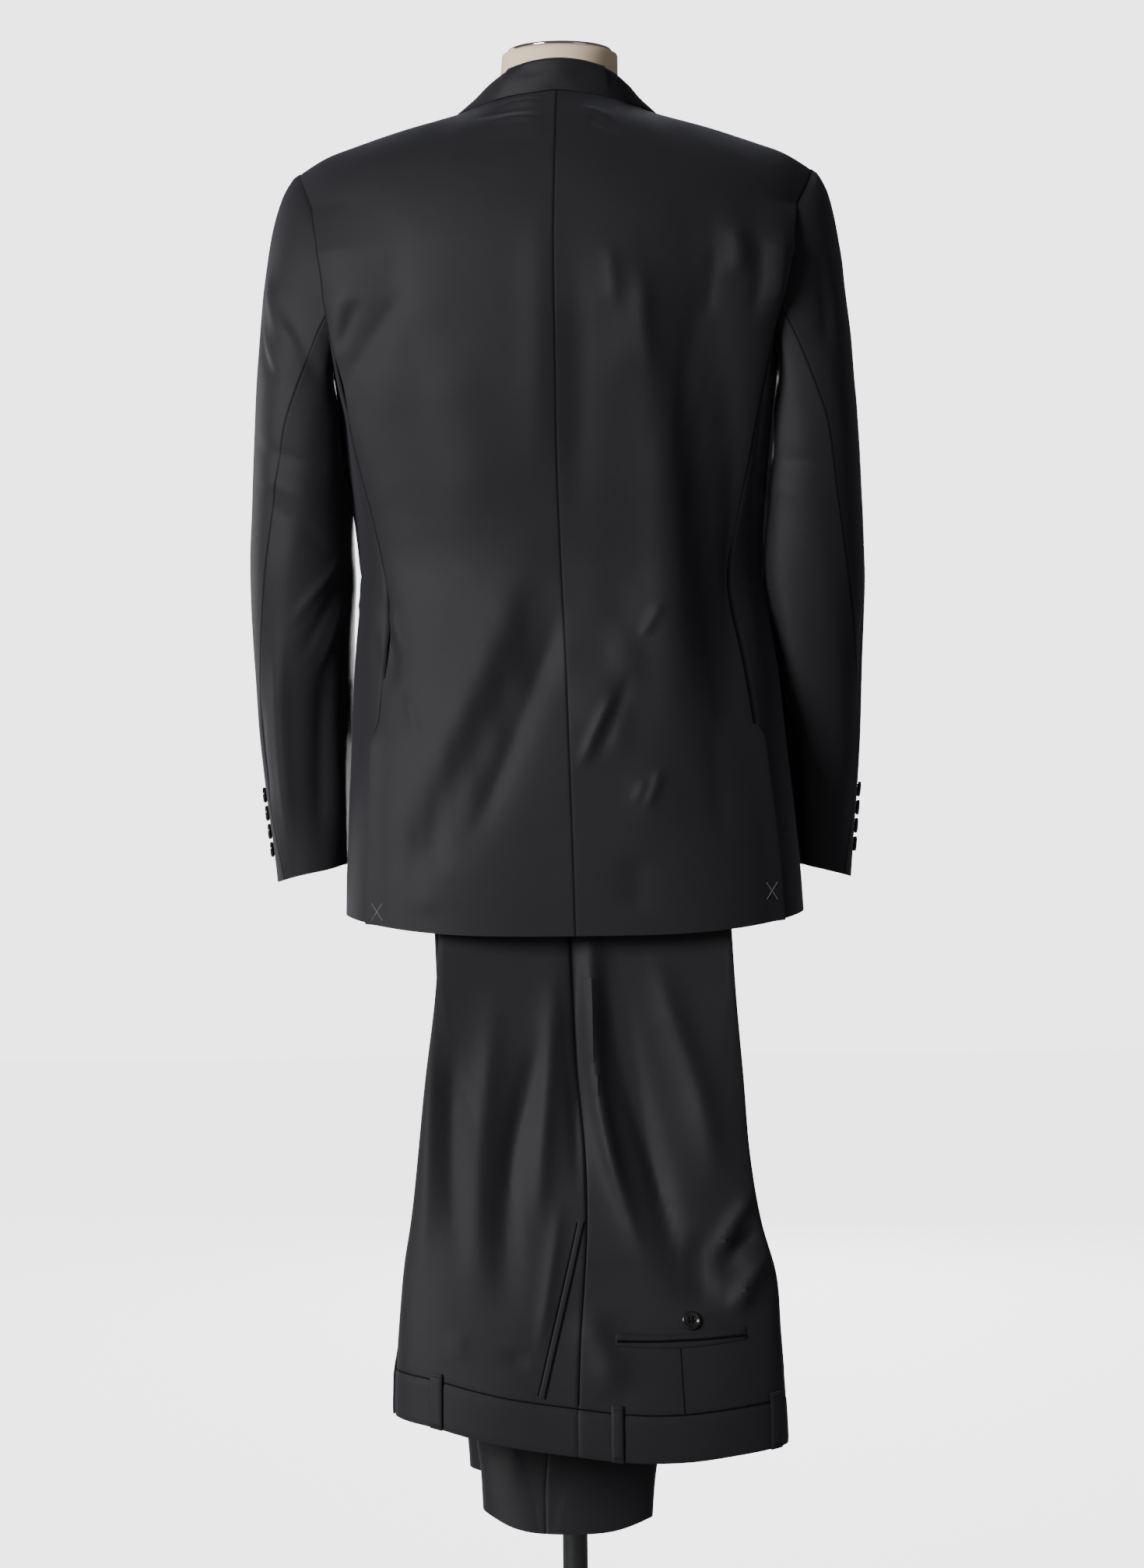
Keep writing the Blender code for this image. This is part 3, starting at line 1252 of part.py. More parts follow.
def make_bar():
    """One bent rod: the bar under the trousers, its two ends brought round to the pole."""
    corners = (
        (BAR_LEFT_X, BAR_Y, BAR_Z),
        (BAR_RIGHT_X, BAR_Y, BAR_Z),
        (BAR_RIGHT_X, BAR_REAR_Y, BAR_REAR_Z),
        (BAR_LEFT_X, BAR_REAR_Y, BAR_REAR_Z),
    )
    corners = np.array(corners)
    points = []
    for index, corner in enumerate(corners):
        before = unit(corners[index - 1] - corner)
        after = unit(corners[(index + 1) % len(corners)] - corner)
        for turn in np.linspace(0, 1, 5):
            start, end = corner + before * BAR_BEND, corner + after * BAR_BEND
            points.append(start * (1 - turn) ** 2 + corner * 2 * turn * (1 - turn) + end * turn**2)
    curve = bpy.data.curves.new("trouser_bar", "CURVE")
    curve.dimensions = "3D"
    curve.bevel_depth = BAR_RADIUS
    curve.bevel_resolution = 3
    spline = curve.splines.new("POLY")
    spline.points.add(len(points) - 1)
    for point, place in zip(spline.points, points):
        point.co = (*place, 1)
    spline.use_cyclic_u = True
    thing = bpy.data.objects.new("trouser_bar", curve)
    curve.materials.append(finish("trouser_bar", (0.017, 0.018, 0.019), 0.45, 0.4))
    bpy.context.scene.collection.objects.link(thing)


def clear_scene():
    for thing in list(bpy.data.objects):
        bpy.data.objects.remove(thing)


clear_scene()
make_jacket()
make_trousers()
make_form()
make_stand()
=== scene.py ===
# %% [markdown]
# # A dark wool suit on a dress form, seen from behind
# The jacket is buttoned on a linen form. The trousers are folded on their creases and hang over a hidden
# bar, waist down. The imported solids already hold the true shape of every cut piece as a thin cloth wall.
# This lesson reads the jacket's walls back as grids of points and works the folded trousers out again from
# their sizes. Both become finer, and get the creases, seams and threads that such coarse walls can't carry.

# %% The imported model
import bpy
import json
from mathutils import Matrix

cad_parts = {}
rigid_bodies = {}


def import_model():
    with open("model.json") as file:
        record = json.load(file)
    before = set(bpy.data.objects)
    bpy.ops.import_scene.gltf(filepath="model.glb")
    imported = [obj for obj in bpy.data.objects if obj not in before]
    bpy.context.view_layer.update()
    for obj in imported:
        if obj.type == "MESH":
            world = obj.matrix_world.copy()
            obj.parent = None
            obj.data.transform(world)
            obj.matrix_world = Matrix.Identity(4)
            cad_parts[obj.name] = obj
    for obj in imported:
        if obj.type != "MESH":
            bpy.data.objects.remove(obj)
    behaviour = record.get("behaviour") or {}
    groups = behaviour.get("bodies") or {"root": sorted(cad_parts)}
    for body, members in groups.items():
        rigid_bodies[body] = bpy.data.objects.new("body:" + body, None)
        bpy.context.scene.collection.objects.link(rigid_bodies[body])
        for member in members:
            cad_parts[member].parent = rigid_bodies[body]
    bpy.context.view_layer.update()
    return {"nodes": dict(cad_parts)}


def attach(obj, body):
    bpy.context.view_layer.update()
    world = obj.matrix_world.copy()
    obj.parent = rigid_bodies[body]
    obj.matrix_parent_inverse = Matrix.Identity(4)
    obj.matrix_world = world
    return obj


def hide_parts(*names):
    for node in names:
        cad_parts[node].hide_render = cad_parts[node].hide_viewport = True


for leftover in list(bpy.data.objects):
    bpy.data.objects.remove(leftover)
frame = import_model()

import json
import math
from functools import partial

import bmesh
import numpy as np
from mathutils import Vector, noise
from mathutils.bvhtree import BVHTree

MM = 0.001
LEFT, RIGHT = -1, 1
WORDS = {RIGHT: "right", LEFT: "left"}

# %% [markdown]
# ## The camera
# The photograph looks level at the back of the jacket from a little over two and a half metres. The width
# of the shoulders and the height of the hems in the picture give the distance and the focal length. The
# slight roll is the photograph's own.

# %% Camera
CAMERA_PLACE = (0.0043, -2.6, 0.924)
CAMERA_ROLL = math.radians(0.6)
FOCAL_LENGTH = 64.76


def in_scene(name, data):
    """A new object of the scene with this data."""
    thing = bpy.data.objects.new(name, data)
    bpy.context.scene.collection.objects.link(thing)
    return thing


camera_data = bpy.data.cameras.new("camera")
camera_data.lens = FOCAL_LENGTH
camera = in_scene("camera", camera_data)
camera.location = CAMERA_PLACE
camera.rotation_euler = (math.radians(90), CAMERA_ROLL, 0)
bpy.context.scene.camera = camera

# %% [markdown]
# ## Node groups
# A weave or a mottling can serve more than one material, so each is a node group with named inputs and
# outputs. The groups only put out shades and heights. The shader itself, with its sheen and its gloss,
# stays in each material.

# %% Helpers for node trees
def node(tree, kind, **settings):
    """A new node with these settings of its own."""
    made = tree.nodes.new(kind)
    for name, value in settings.items():
        setattr(made, name, value)
    return made


def filled(made, **values):
    """Sets a node's inputs, named with underscores for spaces, and gives the node back."""
    for label, value in values.items():
        made.inputs[label.replace("_", " ")].default_value = value
    return made


def wire(tree, source, target, out=0, into=0):
    """Joins a node's output to another node's input, each by its place or its name."""
    tree.links.new(source.outputs[out], target.inputs[into])


def maths(tree, operation, *values):
    """A Math node fed with nodes' sockets or plain numbers; gives its output socket."""
    made = node(tree, "ShaderNodeMath", operation=operation)
    for place, value in enumerate(values):
        if isinstance(value, (int, float)):
            made.inputs[place].default_value = value
        else:
            tree.links.new(value, made.inputs[place])
    return made.outputs[0]


def sums_in(tree):
    """Plus, minus, times, divided by and the sine, as short functions for one tree."""
    operations = ("ADD", "SUBTRACT", "MULTIPLY", "DIVIDE", "SINE")
    return [partial(maths, tree, operation) for operation in operations]


def new_group(name, inputs, outputs, family="Shader"):
    """A node group with inputs (name, type, default) and outputs (name, type)."""
    tree = bpy.data.node_groups.new(name, f"{family}NodeTree")
    for label, kind, value in inputs:
        socket = tree.interface.new_socket(label, in_out="INPUT", socket_type=f"NodeSocket{kind}")
        if value is not None:
            socket.default_value = value
    for label, kind in outputs:
        tree.interface.new_socket(label, in_out="OUTPUT", socket_type=f"NodeSocket{kind}")
    return tree, node(tree, "NodeGroupInput"), node(tree, "NodeGroupOutput")

# %% Weave: a twill of fine yarns
WARP_SLUBS = (900.0, 60.0)
RIDGE_SHARE, YARN_SHARE = 0.32, 0.12


def slubs(tree, split, stretch, detail):
    """Thick and thin places about nought, stretched along one way of the cloth."""
    _, minus, times, _, _ = sums_in(tree)
    place = node(tree, "ShaderNodeCombineXYZ")
    for axis, scale in enumerate(stretch):
        tree.links.new(times(split.outputs[axis], scale), place.inputs[axis])
    cloudy = filled(node(tree, "ShaderNodeTexNoise"), Scale=1.0, Detail=detail)
    wire(tree, place, cloudy)
    return minus(cloudy.outputs[0], 0.5)


def build_twill():
    tree, given, result = new_group(
        "twill_weave",
        [
            ("Cloth", "Vector", None), ("Pitch", "Float", 0.0006), ("Slub", "Float", 0.5),
            ("Steepness", "Float", 1.6),
        ],
        [("Height", "Float"), ("Yarn", "Float")],
    )
    plus, _, times, over, sine = sums_in(tree)
    split = node(tree, "ShaderNodeSeparateXYZ")
    wire(tree, given, split)
    turns = over(2 * math.pi, given.outputs["Pitch"])
    warp, weft = split.outputs["X"], split.outputs["Y"]
    ridge = sine(times(plus(times(warp, given.outputs["Steepness"]), weft), turns))
    yarns = sine(times(warp, times(turns, 2.0)))
    slub = times(slubs(tree, split, WARP_SLUBS, 2.0), given.outputs["Slub"])
    woven = plus(times(ridge, RIDGE_SHARE), times(yarns, YARN_SHARE))
    tree.links.new(plus(woven, slub), result.inputs["Height"])
    tree.links.new(plus(0.5, plus(times(woven, 0.5), slub)), result.inputs["Yarn"])
    return tree

# %% Plain weave: linen threads over and under
LINEN_SLUBS = ((420.0, 26.0), (26.0, 420.0))
CROSSING_HEIGHT, CROSSING_SHADE = 0.4, 0.22


def build_linen():
    tree, given, result = new_group(
        "plain_weave",
        [("Cloth", "Vector", None), ("Pitch", "Float", 0.0012), ("Slub", "Float", 0.6)],
        [("Height", "Float"), ("Yarn", "Float")],
    )
    plus, _, times, over, sine = sums_in(tree)
    split = node(tree, "ShaderNodeSeparateXYZ")
    wire(tree, given, split)
    turns = over(math.pi, given.outputs["Pitch"])
    crossing = times(*(sine(times(split.outputs[axis], turns)) for axis in (0, 1)))
    slub = times(plus(*(slubs(tree, split, stretch, 3.0) for stretch in LINEN_SLUBS)), given.outputs["Slub"])
    tree.links.new(plus(times(crossing, CROSSING_HEIGHT), slub), result.inputs["Height"])
    tree.links.new(plus(times(crossing, CROSSING_SHADE), plus(0.5, slub)), result.inputs["Yarn"])
    return tree

# %% Mottling: broad, faint changes of shade
def build_mottle():
    tree, given, result = new_group(
        "mottle",
        [("Place", "Vector", None), ("Size", "Float", 0.12), ("Contrast", "Float", 0.3)],
        [("Shade", "Float")],
    )
    plus, minus, times, over, _ = sums_in(tree)
    cloudy = filled(node(tree, "ShaderNodeTexNoise"), Detail=4.0)
    wire(tree, given, cloudy)
    tree.links.new(over(1.0, given.outputs["Size"]), cloudy.inputs["Scale"])
    shade = plus(0.5, times(minus(cloudy.outputs[0], 0.5), given.outputs["Contrast"]))
    tree.links.new(shade, result.inputs["Shade"])
    return tree


twill, plain_weave, mottle = build_twill(), build_linen(), build_mottle()

# %% [markdown]
# ## The finishes
# Worsted wool is nearly black here, so most of what the eye reads as its shape is the soft sheen of the
# fibres, not its colour. A principled shader with a high roughness and some sheen gives that. The woven
# relief comes from a bump on the cloth's own coordinates, which are in metres along the weft and the warp,
# so the weave keeps its real size on every piece.

# %% Cloth finishes
def group_node(tree, group, **values):
    return filled(node(tree, "ShaderNodeGroup", node_tree=group), **values)


def new_material(name, roughness, **sockets):
    material = bpy.data.materials.new(name)
    material.use_nodes = True
    tree = material.node_tree
    shader = filled(tree.nodes["Principled BSDF"], Roughness=roughness, **sockets)
    return material, tree, shader


def mixed(tree, factor, *colours):
    """A Mix node between two colours, each given as a tuple or a socket; gives its colour output."""
    made = node(tree, "ShaderNodeMix", data_type="RGBA")
    tree.links.new(factor, made.inputs[0])
    for socket, colour in zip((made.inputs[6], made.inputs[7]), colours):
        if isinstance(colour, tuple):
            socket.default_value = (*colour, 1)
        else:
            tree.links.new(colour, socket)
    return made.outputs[2]


def bumped(tree, shader, height, strength, distance):
    bump = filled(node(tree, "ShaderNodeBump"), Strength=strength, Distance=distance)
    tree.links.new(height, bump.inputs["Height"])
    wire(tree, bump, shader, 0, "Normal")


def uneven_gloss(tree, shader, patches, roughness, swing):
    """A roughness that changes a little from patch to patch."""
    rough = maths(tree, "MULTIPLY_ADD", patches, swing, roughness - swing / 2)
    tree.links.new(rough, shader.inputs["Roughness"])


def woven_material(name, weave, dark, light, roughness, bump, patch, groove=0.0, **sockets):
    """Cloth with a weave on its own coordinates and a broad mottling.

    groove: how much painted shade goes into the seams, darkening their colour, sheen and gloss."""
    material, tree, shader = new_material(name, roughness, **sockets)
    plus, minus, times, _, _ = sums_in(tree)
    cloth = node(tree, "ShaderNodeUVMap", uv_map="cloth")
    place = node(tree, "ShaderNodeTexCoord")
    woven = group_node(tree, weave)
    wire(tree, cloth, woven)
    broad = group_node(tree, mottle, Size=patch, Contrast=0.9)
    wire(tree, place, broad, "Object")
    both = plus(times(woven.outputs["Yarn"], 0.5), times(broad.outputs[0], 0.5))
    # Painted seam shade: inside the seams the colour goes towards black and the sheen and gloss are turned
    # down
    seam = node(tree, "ShaderNodeAttribute", attribute_name="groove")
    depth = times(seam.outputs["Fac"], groove)
    shaded = mixed(tree, depth, mixed(tree, both, dark, light), (0, 0, 0))
    tree.links.new(shaded, shader.inputs["Base Color"])
    open_cloth = minus(1.0, depth)
    for label in ("Sheen Weight", "Specular IOR Level"):
        amount = times(open_cloth, sockets.get(label.replace(" ", "_"), 0.0))
        tree.links.new(amount, shader.inputs[label])
    uneven_gloss(tree, shader, broad.outputs[0], roughness, 0.16)
    bumped(tree, shader, woven.outputs["Height"], *bump)
    return material


# The wool's seams get painted shade, darkest at a sewn edge
wool = woven_material(
    "dark_worsted", twill, (0.0086, 0.0086, 0.0108), (0.0156, 0.0155, 0.0188), 0.60, (0.35, 0.12 * MM), 0.22,
    groove=0.85, Sheen_Weight=0.148, Sheen_Roughness=0.45, Sheen_Tint=(0.82, 0.83, 0.95, 1),
    Specular_IOR_Level=0.23,
)
lining = woven_material(
    "black_satin_lining", twill, (0.010, 0.010, 0.012), (0.018, 0.018, 0.021), 0.34, (0.10, 0.05 * MM), 0.10,
    Specular_IOR_Level=0.5,
)
linen = woven_material(
    "form_linen", plain_weave, (0.80, 0.60, 0.40), (0.98, 0.81, 0.60), 0.85, (0.55, 0.25 * MM), 0.05,
    Sheen_Weight=0.15, Specular_IOR_Level=0.25,
)

# %% Thread, button, metal and paint
def speckled_material(name, dark, light, roughness, size, bump, **sockets):
    """A finish whose colour and gloss change a little over its surface."""
    material, tree, shader = new_material(name, roughness, **sockets)
    place = node(tree, "ShaderNodeTexCoord")
    broad = group_node(tree, mottle, Size=size, Contrast=1.4)
    wire(tree, place, broad, "Object")
    tree.links.new(mixed(tree, broad.outputs[0], dark, light), shader.inputs["Base Color"])
    uneven_gloss(tree, shader, broad.outputs[0], roughness, 0.1)
    bumped(tree, shader, broad.outputs[0], *bump)
    return material


# Near black: besides the stitches and button threads, it makes the cords that stand for the seams' painted
# shadow
dark_thread = speckled_material(
    "dark_thread", (0.002, 0.002, 0.003), (0.006, 0.006, 0.007), 0.8, 0.0008, (0.2, 0.1 * MM),
    Specular_IOR_Level=0.1,
)
white_thread = speckled_material(
    "white_basting_thread", (0.10, 0.105, 0.12), (0.20, 0.205, 0.22), 0.6, 0.0015, (0.2, 0.1 * MM)
)
horn = speckled_material(
    "black_horn_button", (0.004, 0.004, 0.005), (0.016, 0.015, 0.015), 0.16, 0.006, (0.05, 0.05 * MM),
    Coat_Weight=0.4, Coat_Roughness=0.08,
)
chrome = speckled_material(
    "polished_chrome", (0.62, 0.62, 0.63), (0.78, 0.78, 0.79), 0.10, 0.02, (0.02, 0.05 * MM), Metallic=1.0
)
black_paint = speckled_material(
    "satin_black_paint", (0.013, 0.014, 0.015), (0.022, 0.023, 0.024), 0.42, 0.01, (0.06, 0.08 * MM)
)
print("finishes:", ", ".join(sorted(material.name for material in bpy.data.materials)))

# %% [markdown]
# ## Reading a cut piece back from its wall
# A cloth wall is two grids of points, an outer and an inner one, joined by narrow rims. The rims meet both
# sides at a right angle, so walking over the triangles without ever crossing a sharp edge stays on one side
# of the cloth. The outer side is the larger of the two. Each grid cell was cut along one of its diagonals,
# so the cells are put together again one by one, from the border inwards, as rows and columns.

# %% The outer side of a wall
WELD = 0.002 * MM
SHARP = math.radians(50)


def welded(name):
    """A solid's mesh with its loose triangles joined."""
    made = bmesh.new()
    made.from_mesh(frame["nodes"][name].data)
    bmesh.ops.remove_doubles(made, verts=made.verts, dist=WELD)
    made.faces.ensure_lookup_table()
    made.normal_update()
    return made


def smooth_patch(start, taken):
    """The faces that can be reached from one face without crossing a sharp edge."""
    patch, waiting = [], [start]
    taken.add(start.index)
    while waiting:
        face = waiting.pop()
        patch.append(face)
        for edge in face.edges:
            if edge.calc_face_angle(math.pi) > SHARP:
                continue
            for other in edge.link_faces:
                if other.index not in taken:
                    taken.add(other.index)
                    waiting.append(other)
    return patch


def outer_side(made, wanted):
    """The faces of the cloth's outer side, of which there are this many."""
    patches, taken = [], set()
    for face in made.faces:
        if face.index not in taken:
            patches.append(smooth_patch(face, taken))
    patches.sort(key=lambda patch: -sum(face.calc_area() for face in patch))
    side = patches[0]
    edges = {edge for face in side for edge in face.edges}
    for patch in patches[1:]:
        meets = any(edge in edges for face in patch for edge in face.edges)
        if meets and len(patch) == wanted - len(side):
            side = side + patch
    return side

# %% Rows and columns again
def border_of(triangles):
    """The border's points in order, with the cloth on their left."""
    following = {}
    directed = {(a, b) for face in triangles for a, b in zip(face, face[1:] + face[:1])}
    for a, b in directed:
        if (b, a) not in directed:
            following[a] = b
    border = [min(following)]
    while following[border[-1]] != border[0]:
        border.append(following[border[-1]])
    return border


def walked(border, start, rows, columns, by_edge):
    """The grid of points that starts at this place on the border, or None where it doesn't fit."""
    turn = len(border)
    lines = [[border[(start + step) % turn] for step in range(columns)]]
    used = set()

    def across(a, b):
        found = [face for face in by_edge.get(frozenset((a, b)), ()) if face not in used]
        return found[0] if len(found) == 1 else None

    for row in range(1, rows):
        under, line = lines[-1], [border[(start - row) % turn]]
        for a, b in zip(under, under[1:]):
            first = across(a, b)
            if first is None:
                return None
            used.add(first)
            tip = next(iter(set(first) - {a, b}))
            second = across(line[-1], b) if tip == line[-1] else across(a, tip)
            if second is None:
                return None
            used.add(second)
            if tip == line[-1]:
                tip = next(iter(set(second) - {line[-1], b}))
            elif set(second) != {a, tip, line[-1]}:
                return None
            line.append(tip)
        lines.append(line)
    return lines


def panel_grid(name, rows, columns):
    """The outer side of a wall as an array of points, rows from low to high, facing out."""
    made = welded(name)
    side = outer_side(made, 2 * (rows - 1) * (columns - 1))
    triangles = [tuple(corner.index for corner in face.verts) for face in side]
    by_edge = {}
    for face in triangles:
        for a, b in zip(face, face[1:] + face[:1]):
            by_edge.setdefault(frozenset((a, b)), []).append(face)
    border = border_of(triangles)
    for start in range(len(border)):
        lines = walked(border, start, rows, columns, by_edge)
        if lines is not None:
            break
    else:
        raise ValueError(f"{name} has no grid of {rows} by {columns}")
    made.verts.ensure_lookup_table()
    grid = np.array([[made.verts[index].co for index in line] for line in lines])
    made.free()
    if grid[0, :, 2].mean() > grid[-1, :, 2].mean():
        grid = grid[::-1, ::-1]
    return grid

# %% [markdown]
# ## Finer cloth
# A subdivision surface would shrink the cloth a little inside its own grid. A curve that passes through
# every point keeps the shape: each line of points becomes a smooth curve, first along the rows and then
# along the columns. The seams get a few extra rows of points, because the cloth dips into a seam within two
# or three millimetres of it.

# %% Curves through the grid's points
SEAM_STEPS = np.array([0.5, 1.1, 2.0, 3.2]) * MM
# Sewn edges reach this far past their line, so that no light shows through a seam
SEAM_REACH = 0.6 * MM
LEAST_STEP = 0.25 * MM


def smooth(t):
    t = np.clip(t, 0.0, 1.0)
    return t * t * (3 - 2 * t)


def unit(vectors):
    return vectors / np.maximum(np.linalg.norm(vectors, axis=-1, keepdims=True), 1e-9)


def curved(points, steps):
    """Points on smooth curves through an array's lines, at places counted in cells along its first axis."""
    gaps = np.maximum(np.linalg.norm(np.diff(points, axis=0), axis=-1, keepdims=True), 1e-6)
    slopes = np.empty_like(points)
    slopes[1:-1] = (points[2:] - points[:-2]) / (gaps[1:] + gaps[:-1])
    slopes[0] = 1.5 * (points[1] - points[0]) / gaps[0] - 0.5 * slopes[1]
    slopes[-1] = 1.5 * (points[-1] - points[-2]) / gaps[-1] - 0.5 * slopes[-2]
    cell = np.minimum(steps.astype(int), len(points) - 2)
    part = (steps - cell)[:, None, None]
    near, far, gap = points[cell], points[cell + 1], gaps[cell]
    return (
        near * (1 + 2 * part) * (1 - part) ** 2
        + far * part**2 * (3 - 2 * part)
        + gap * slopes[cell] * part * (1 - part) ** 2
        - gap * slopes[cell + 1] * part**2 * (1 - part)
    )


def steps_along(points, cell, seams):
    """Where the finer points come along the first axis: evenly, and closer beside a seam at either end."""
    lengths = np.linalg.norm(np.diff(points, axis=0), axis=-1).mean(axis=1)
    steps = []
    for index, length in enumerate(lengths):
        parts = max(1, round(float(length) / cell))
        steps += [index + part / parts for part in range(parts)]
    steps.append(float(len(lengths)))
    if seams[0]:
        steps += [float(step / lengths[0]) for step in SEAM_STEPS if step < lengths[0]]
    if seams[1]:
        steps += [float(len(lengths) - step / lengths[-1]) for step in SEAM_STEPS if step < lengths[-1]]
    steps = np.unique(np.round(steps, 4))
    keep = np.append(True, np.diff(steps) * float(lengths.mean()) > LEAST_STEP)
    return steps[keep]


def finer(grid, cell, seams, reach=(SEAM_REACH,) * 4):
    """A grid made finer both ways.

    seams: whether its low, top, first and last edges are sewn to a neighbour."""
    rows = steps_along(grid, cell, seams[:2])
    columns = steps_along(grid.swapaxes(0, 1), cell, seams[2:])
    fine = curved(grid, rows)
    fine = curved(fine.swapaxes(0, 1), columns).swapaxes(0, 1)
    turned = fine.swapaxes(0, 1)
    for sewn, far, lines in zip(seams, reach, (fine, fine[::-1], turned, turned[::-1])):
        if sewn:
            lines[0] += far * unit(lines[0] - lines[1])
    return fine


def normals_of(grid):
    along_row = np.gradient(grid, axis=1)
    along_column = np.gradient(grid, axis=0)
    return unit(np.cross(along_row, along_column))


def distances(grid):
    """For each point, how far it is along the cloth from the low, top, first and last edge."""
    up = np.linalg.norm(np.diff(grid, axis=0), axis=-1).cumsum(axis=0)
    up = np.concatenate([np.zeros((1, grid.shape[1])), up])
    over = np.linalg.norm(np.diff(grid, axis=1), axis=-1).cumsum(axis=1)
    over = np.concatenate([np.zeros((grid.shape[0], 1)), over], axis=1)
    return up, up[-1:] - up, over, over[:, -1:] - over

# %% [markdown]
# ## Creases
# Cloth simulation would find its own folds, but the photograph shows particular ones: the drag lines from
# the shoulder blades, the long slanting fold to the left hip, the crumpled elbows. So they are listed, each
# as a row of its name, half width, height and the places along it, all in mm. A height below nought is a
# trough. They are uneven in length, depth and spacing, as real ones are.

# %% Fold helper
FOLD_FADE = 0.35
FOLD_POINTS = 17


def spread_along(places, count=0, step=4 * MM):
    """Places evenly along a bent line: this many of them, or one at every step."""
    places = np.array(places)
    run = np.concatenate([[0.0], np.linalg.norm(np.diff(places, axis=0), axis=1).cumsum()])
    even = np.linspace(0, run[-1], count or max(4, round(run[-1] / step)))
    return np.stack([np.interp(even, run, places[:, axis]) for axis in (0, 1)], axis=-1)


def rounded(places):
    """A fold's line, given in mm, with its corners rounded off."""
    line = spread_along(np.array(places) * MM, FOLD_POINTS)
    padded = np.concatenate([2 * line[:1] - line[3:0:-1], line, 2 * line[-1:] - line[-2:-5:-1]])
    return sum(padded[step:step + FOLD_POINTS] for step in range(7)) / 7


def fold_depth(folds, across, z):
    """How far the folds move the cloth out at each place."""
    depth = np.zeros(np.shape(across))
    for _, width, height, *places in folds:
        places = rounded(places)
        steps = np.linalg.norm(np.diff(places, axis=0), axis=1)
        length = steps.sum()
        nearest = np.full(np.shape(across), np.inf)
        along = np.zeros(np.shape(across))
        passed = 0.0
        for start, end, step in zip(places[:-1], places[1:], steps):
            toward = (end - start) / step
            run = np.clip((across - start[0]) * toward[0] + (z - start[1]) * toward[1], 0.0, step)
            apart = np.hypot(across - start[0] - run * toward[0], z - start[1] - run * toward[1])
            along = np.where(apart < nearest, (passed + run) / length, along)
            nearest = np.minimum(nearest, apart)
            passed += step
        fade = smooth(along / FOLD_FADE) * smooth((1 - along) / FOLD_FADE)
        bell = 1 / (1 + (nearest / (width * MM)) ** 2) ** 2
        depth += height * MM * fade * bell
    return depth


WAVE = np.frompyfunc(lambda x, y, z: noise.noise((x, y, z)), 3, 1)


def waviness(points, size, height, seed):
    """Slow unevenness, as no hanging cloth is quite smooth."""
    place = points / size + seed
    return WAVE(place[..., 0], place[..., 1], place[..., 2]).astype(float) * height

# %% Folds of the jacket's back, at (x, z) in mm
BACK_CREASES = (
    ("left blade drag", 11, -2.4, (-133, 1373), (-157, 1323), (-179, 1266)),
    ("left blade drag, second", 7, -2.0, (-167, 1359), (-182, 1306)),
    ("left armhole ridge", 12, 1.8, (-173, 1388), (-184, 1319), (-186, 1244)),
    ("left blade swell", 40, 2.5, (-112, 1326), (-85, 1230), (-79, 1134)),
    ("centre ridge, upper", 24, 2.6, (-18, 1466), (-21, 1326), (-25, 1175)),
    ("hollow right of the centre", 22, -2.6, (14, 1408), (15, 1285), (11, 1134)),
    ("long slanting ridge", 30, 6.0, (-25, 1134), (-56, 1059), (-89, 987), (-119, 918), (-144, 847)),
    ("long slanting trough", 18, -5.0, (8, 1103), (-16, 1042), (-41, 980), (-69, 908), (-100, 847)),
    ("left hip swell", 30, 2.0, (-156, 997), (-157, 915), (-165, 847)),
    ("left waist nick", 6, -2.2, (-166, 1097), (-158, 1056), (-151, 1008)),
    ("left waist nick, second", 5, 1.6, (-157, 1086), (-147, 1042)),
    ("left waist nick, third", 6, -1.5, (-176, 1066), (-165, 1025)),
    ("left side drag", 7, 1.5, (-142, 1011), (-129, 956)),
    ("right blade ridge", 8, 3.2, (152, 1427), (152, 1397), (149, 1365)),
    ("right armhole ridge", 7, 3.1, (181, 1422), (179, 1381), (173, 1338)),
    ("between the right ridges", 7, -2.8, (166, 1425), (165, 1381), (157, 1326)),
    ("left of the right ridges", 8, -2.1, (136, 1408), (131, 1367), (125, 1326)),
    ("upper ridge", 9, 1.9, (41, 1401), (45, 1367), (46, 1338)),
    ("middle ridge", 12, 3.2, (69, 1388), (71, 1333), (76, 1271)),
    ("right long ridge", 32, 8.5, (79, 1326), (90, 1230), (91, 1134), (92, 1025), (98, 929)),
    ("right long trough", 28, -9.0, (125, 1388), (138, 1285), (151, 1175), (153, 1066), (155, 956)),
    ("right hip trough", 16, -2.2, (128, 997), (134, 929), (140, 860)),
    ("right waist ridge", 6, 2.6, (85, 1086), (76, 1068), (64, 1049)),
    ("right waist ridge, lower", 6, 3.2, (43, 1008), (27, 973), (10, 934)),
    ("under the waist ridge", 8, -2.4, (58, 1025), (42, 980), (24, 939)),
    ("right hip ridge", 6, 2.6, (84, 940), (76, 918), (68, 898)),
    ("right hip ridge, second", 5, 1.5, (69, 929), (59, 905)),
    ("hem ripple, left", 20, 2.0, (-116, 867), (-124, 805)),
    ("hem ripple, right", 20, -1.6, (62, 867), (58, 805)),
    ("collar wrinkle, left upper", 3.6, 2.4, (-60, 1533), (-36, 1537), (-12, 1536)),
    ("collar wrinkle, left middle", 3.6, -2.4, (-84, 1521), (-46, 1529), (-12, 1528)),
    ("collar wrinkle, left lower", 4.0, 2.4, (-68, 1515), (-40, 1520), (-12, 1518)),
    ("collar wrinkle, right", 4.0, 2.2, (16, 1530), (36, 1524), (50, 1515)),
    ("collar wrinkle, right lower", 4.5, -2.0, (20, 1520), (40, 1512), (54, 1500)),
    ("neck drape, left", 12, -1.6, (-100, 1480), (-50, 1500), (-12, 1500)),
)

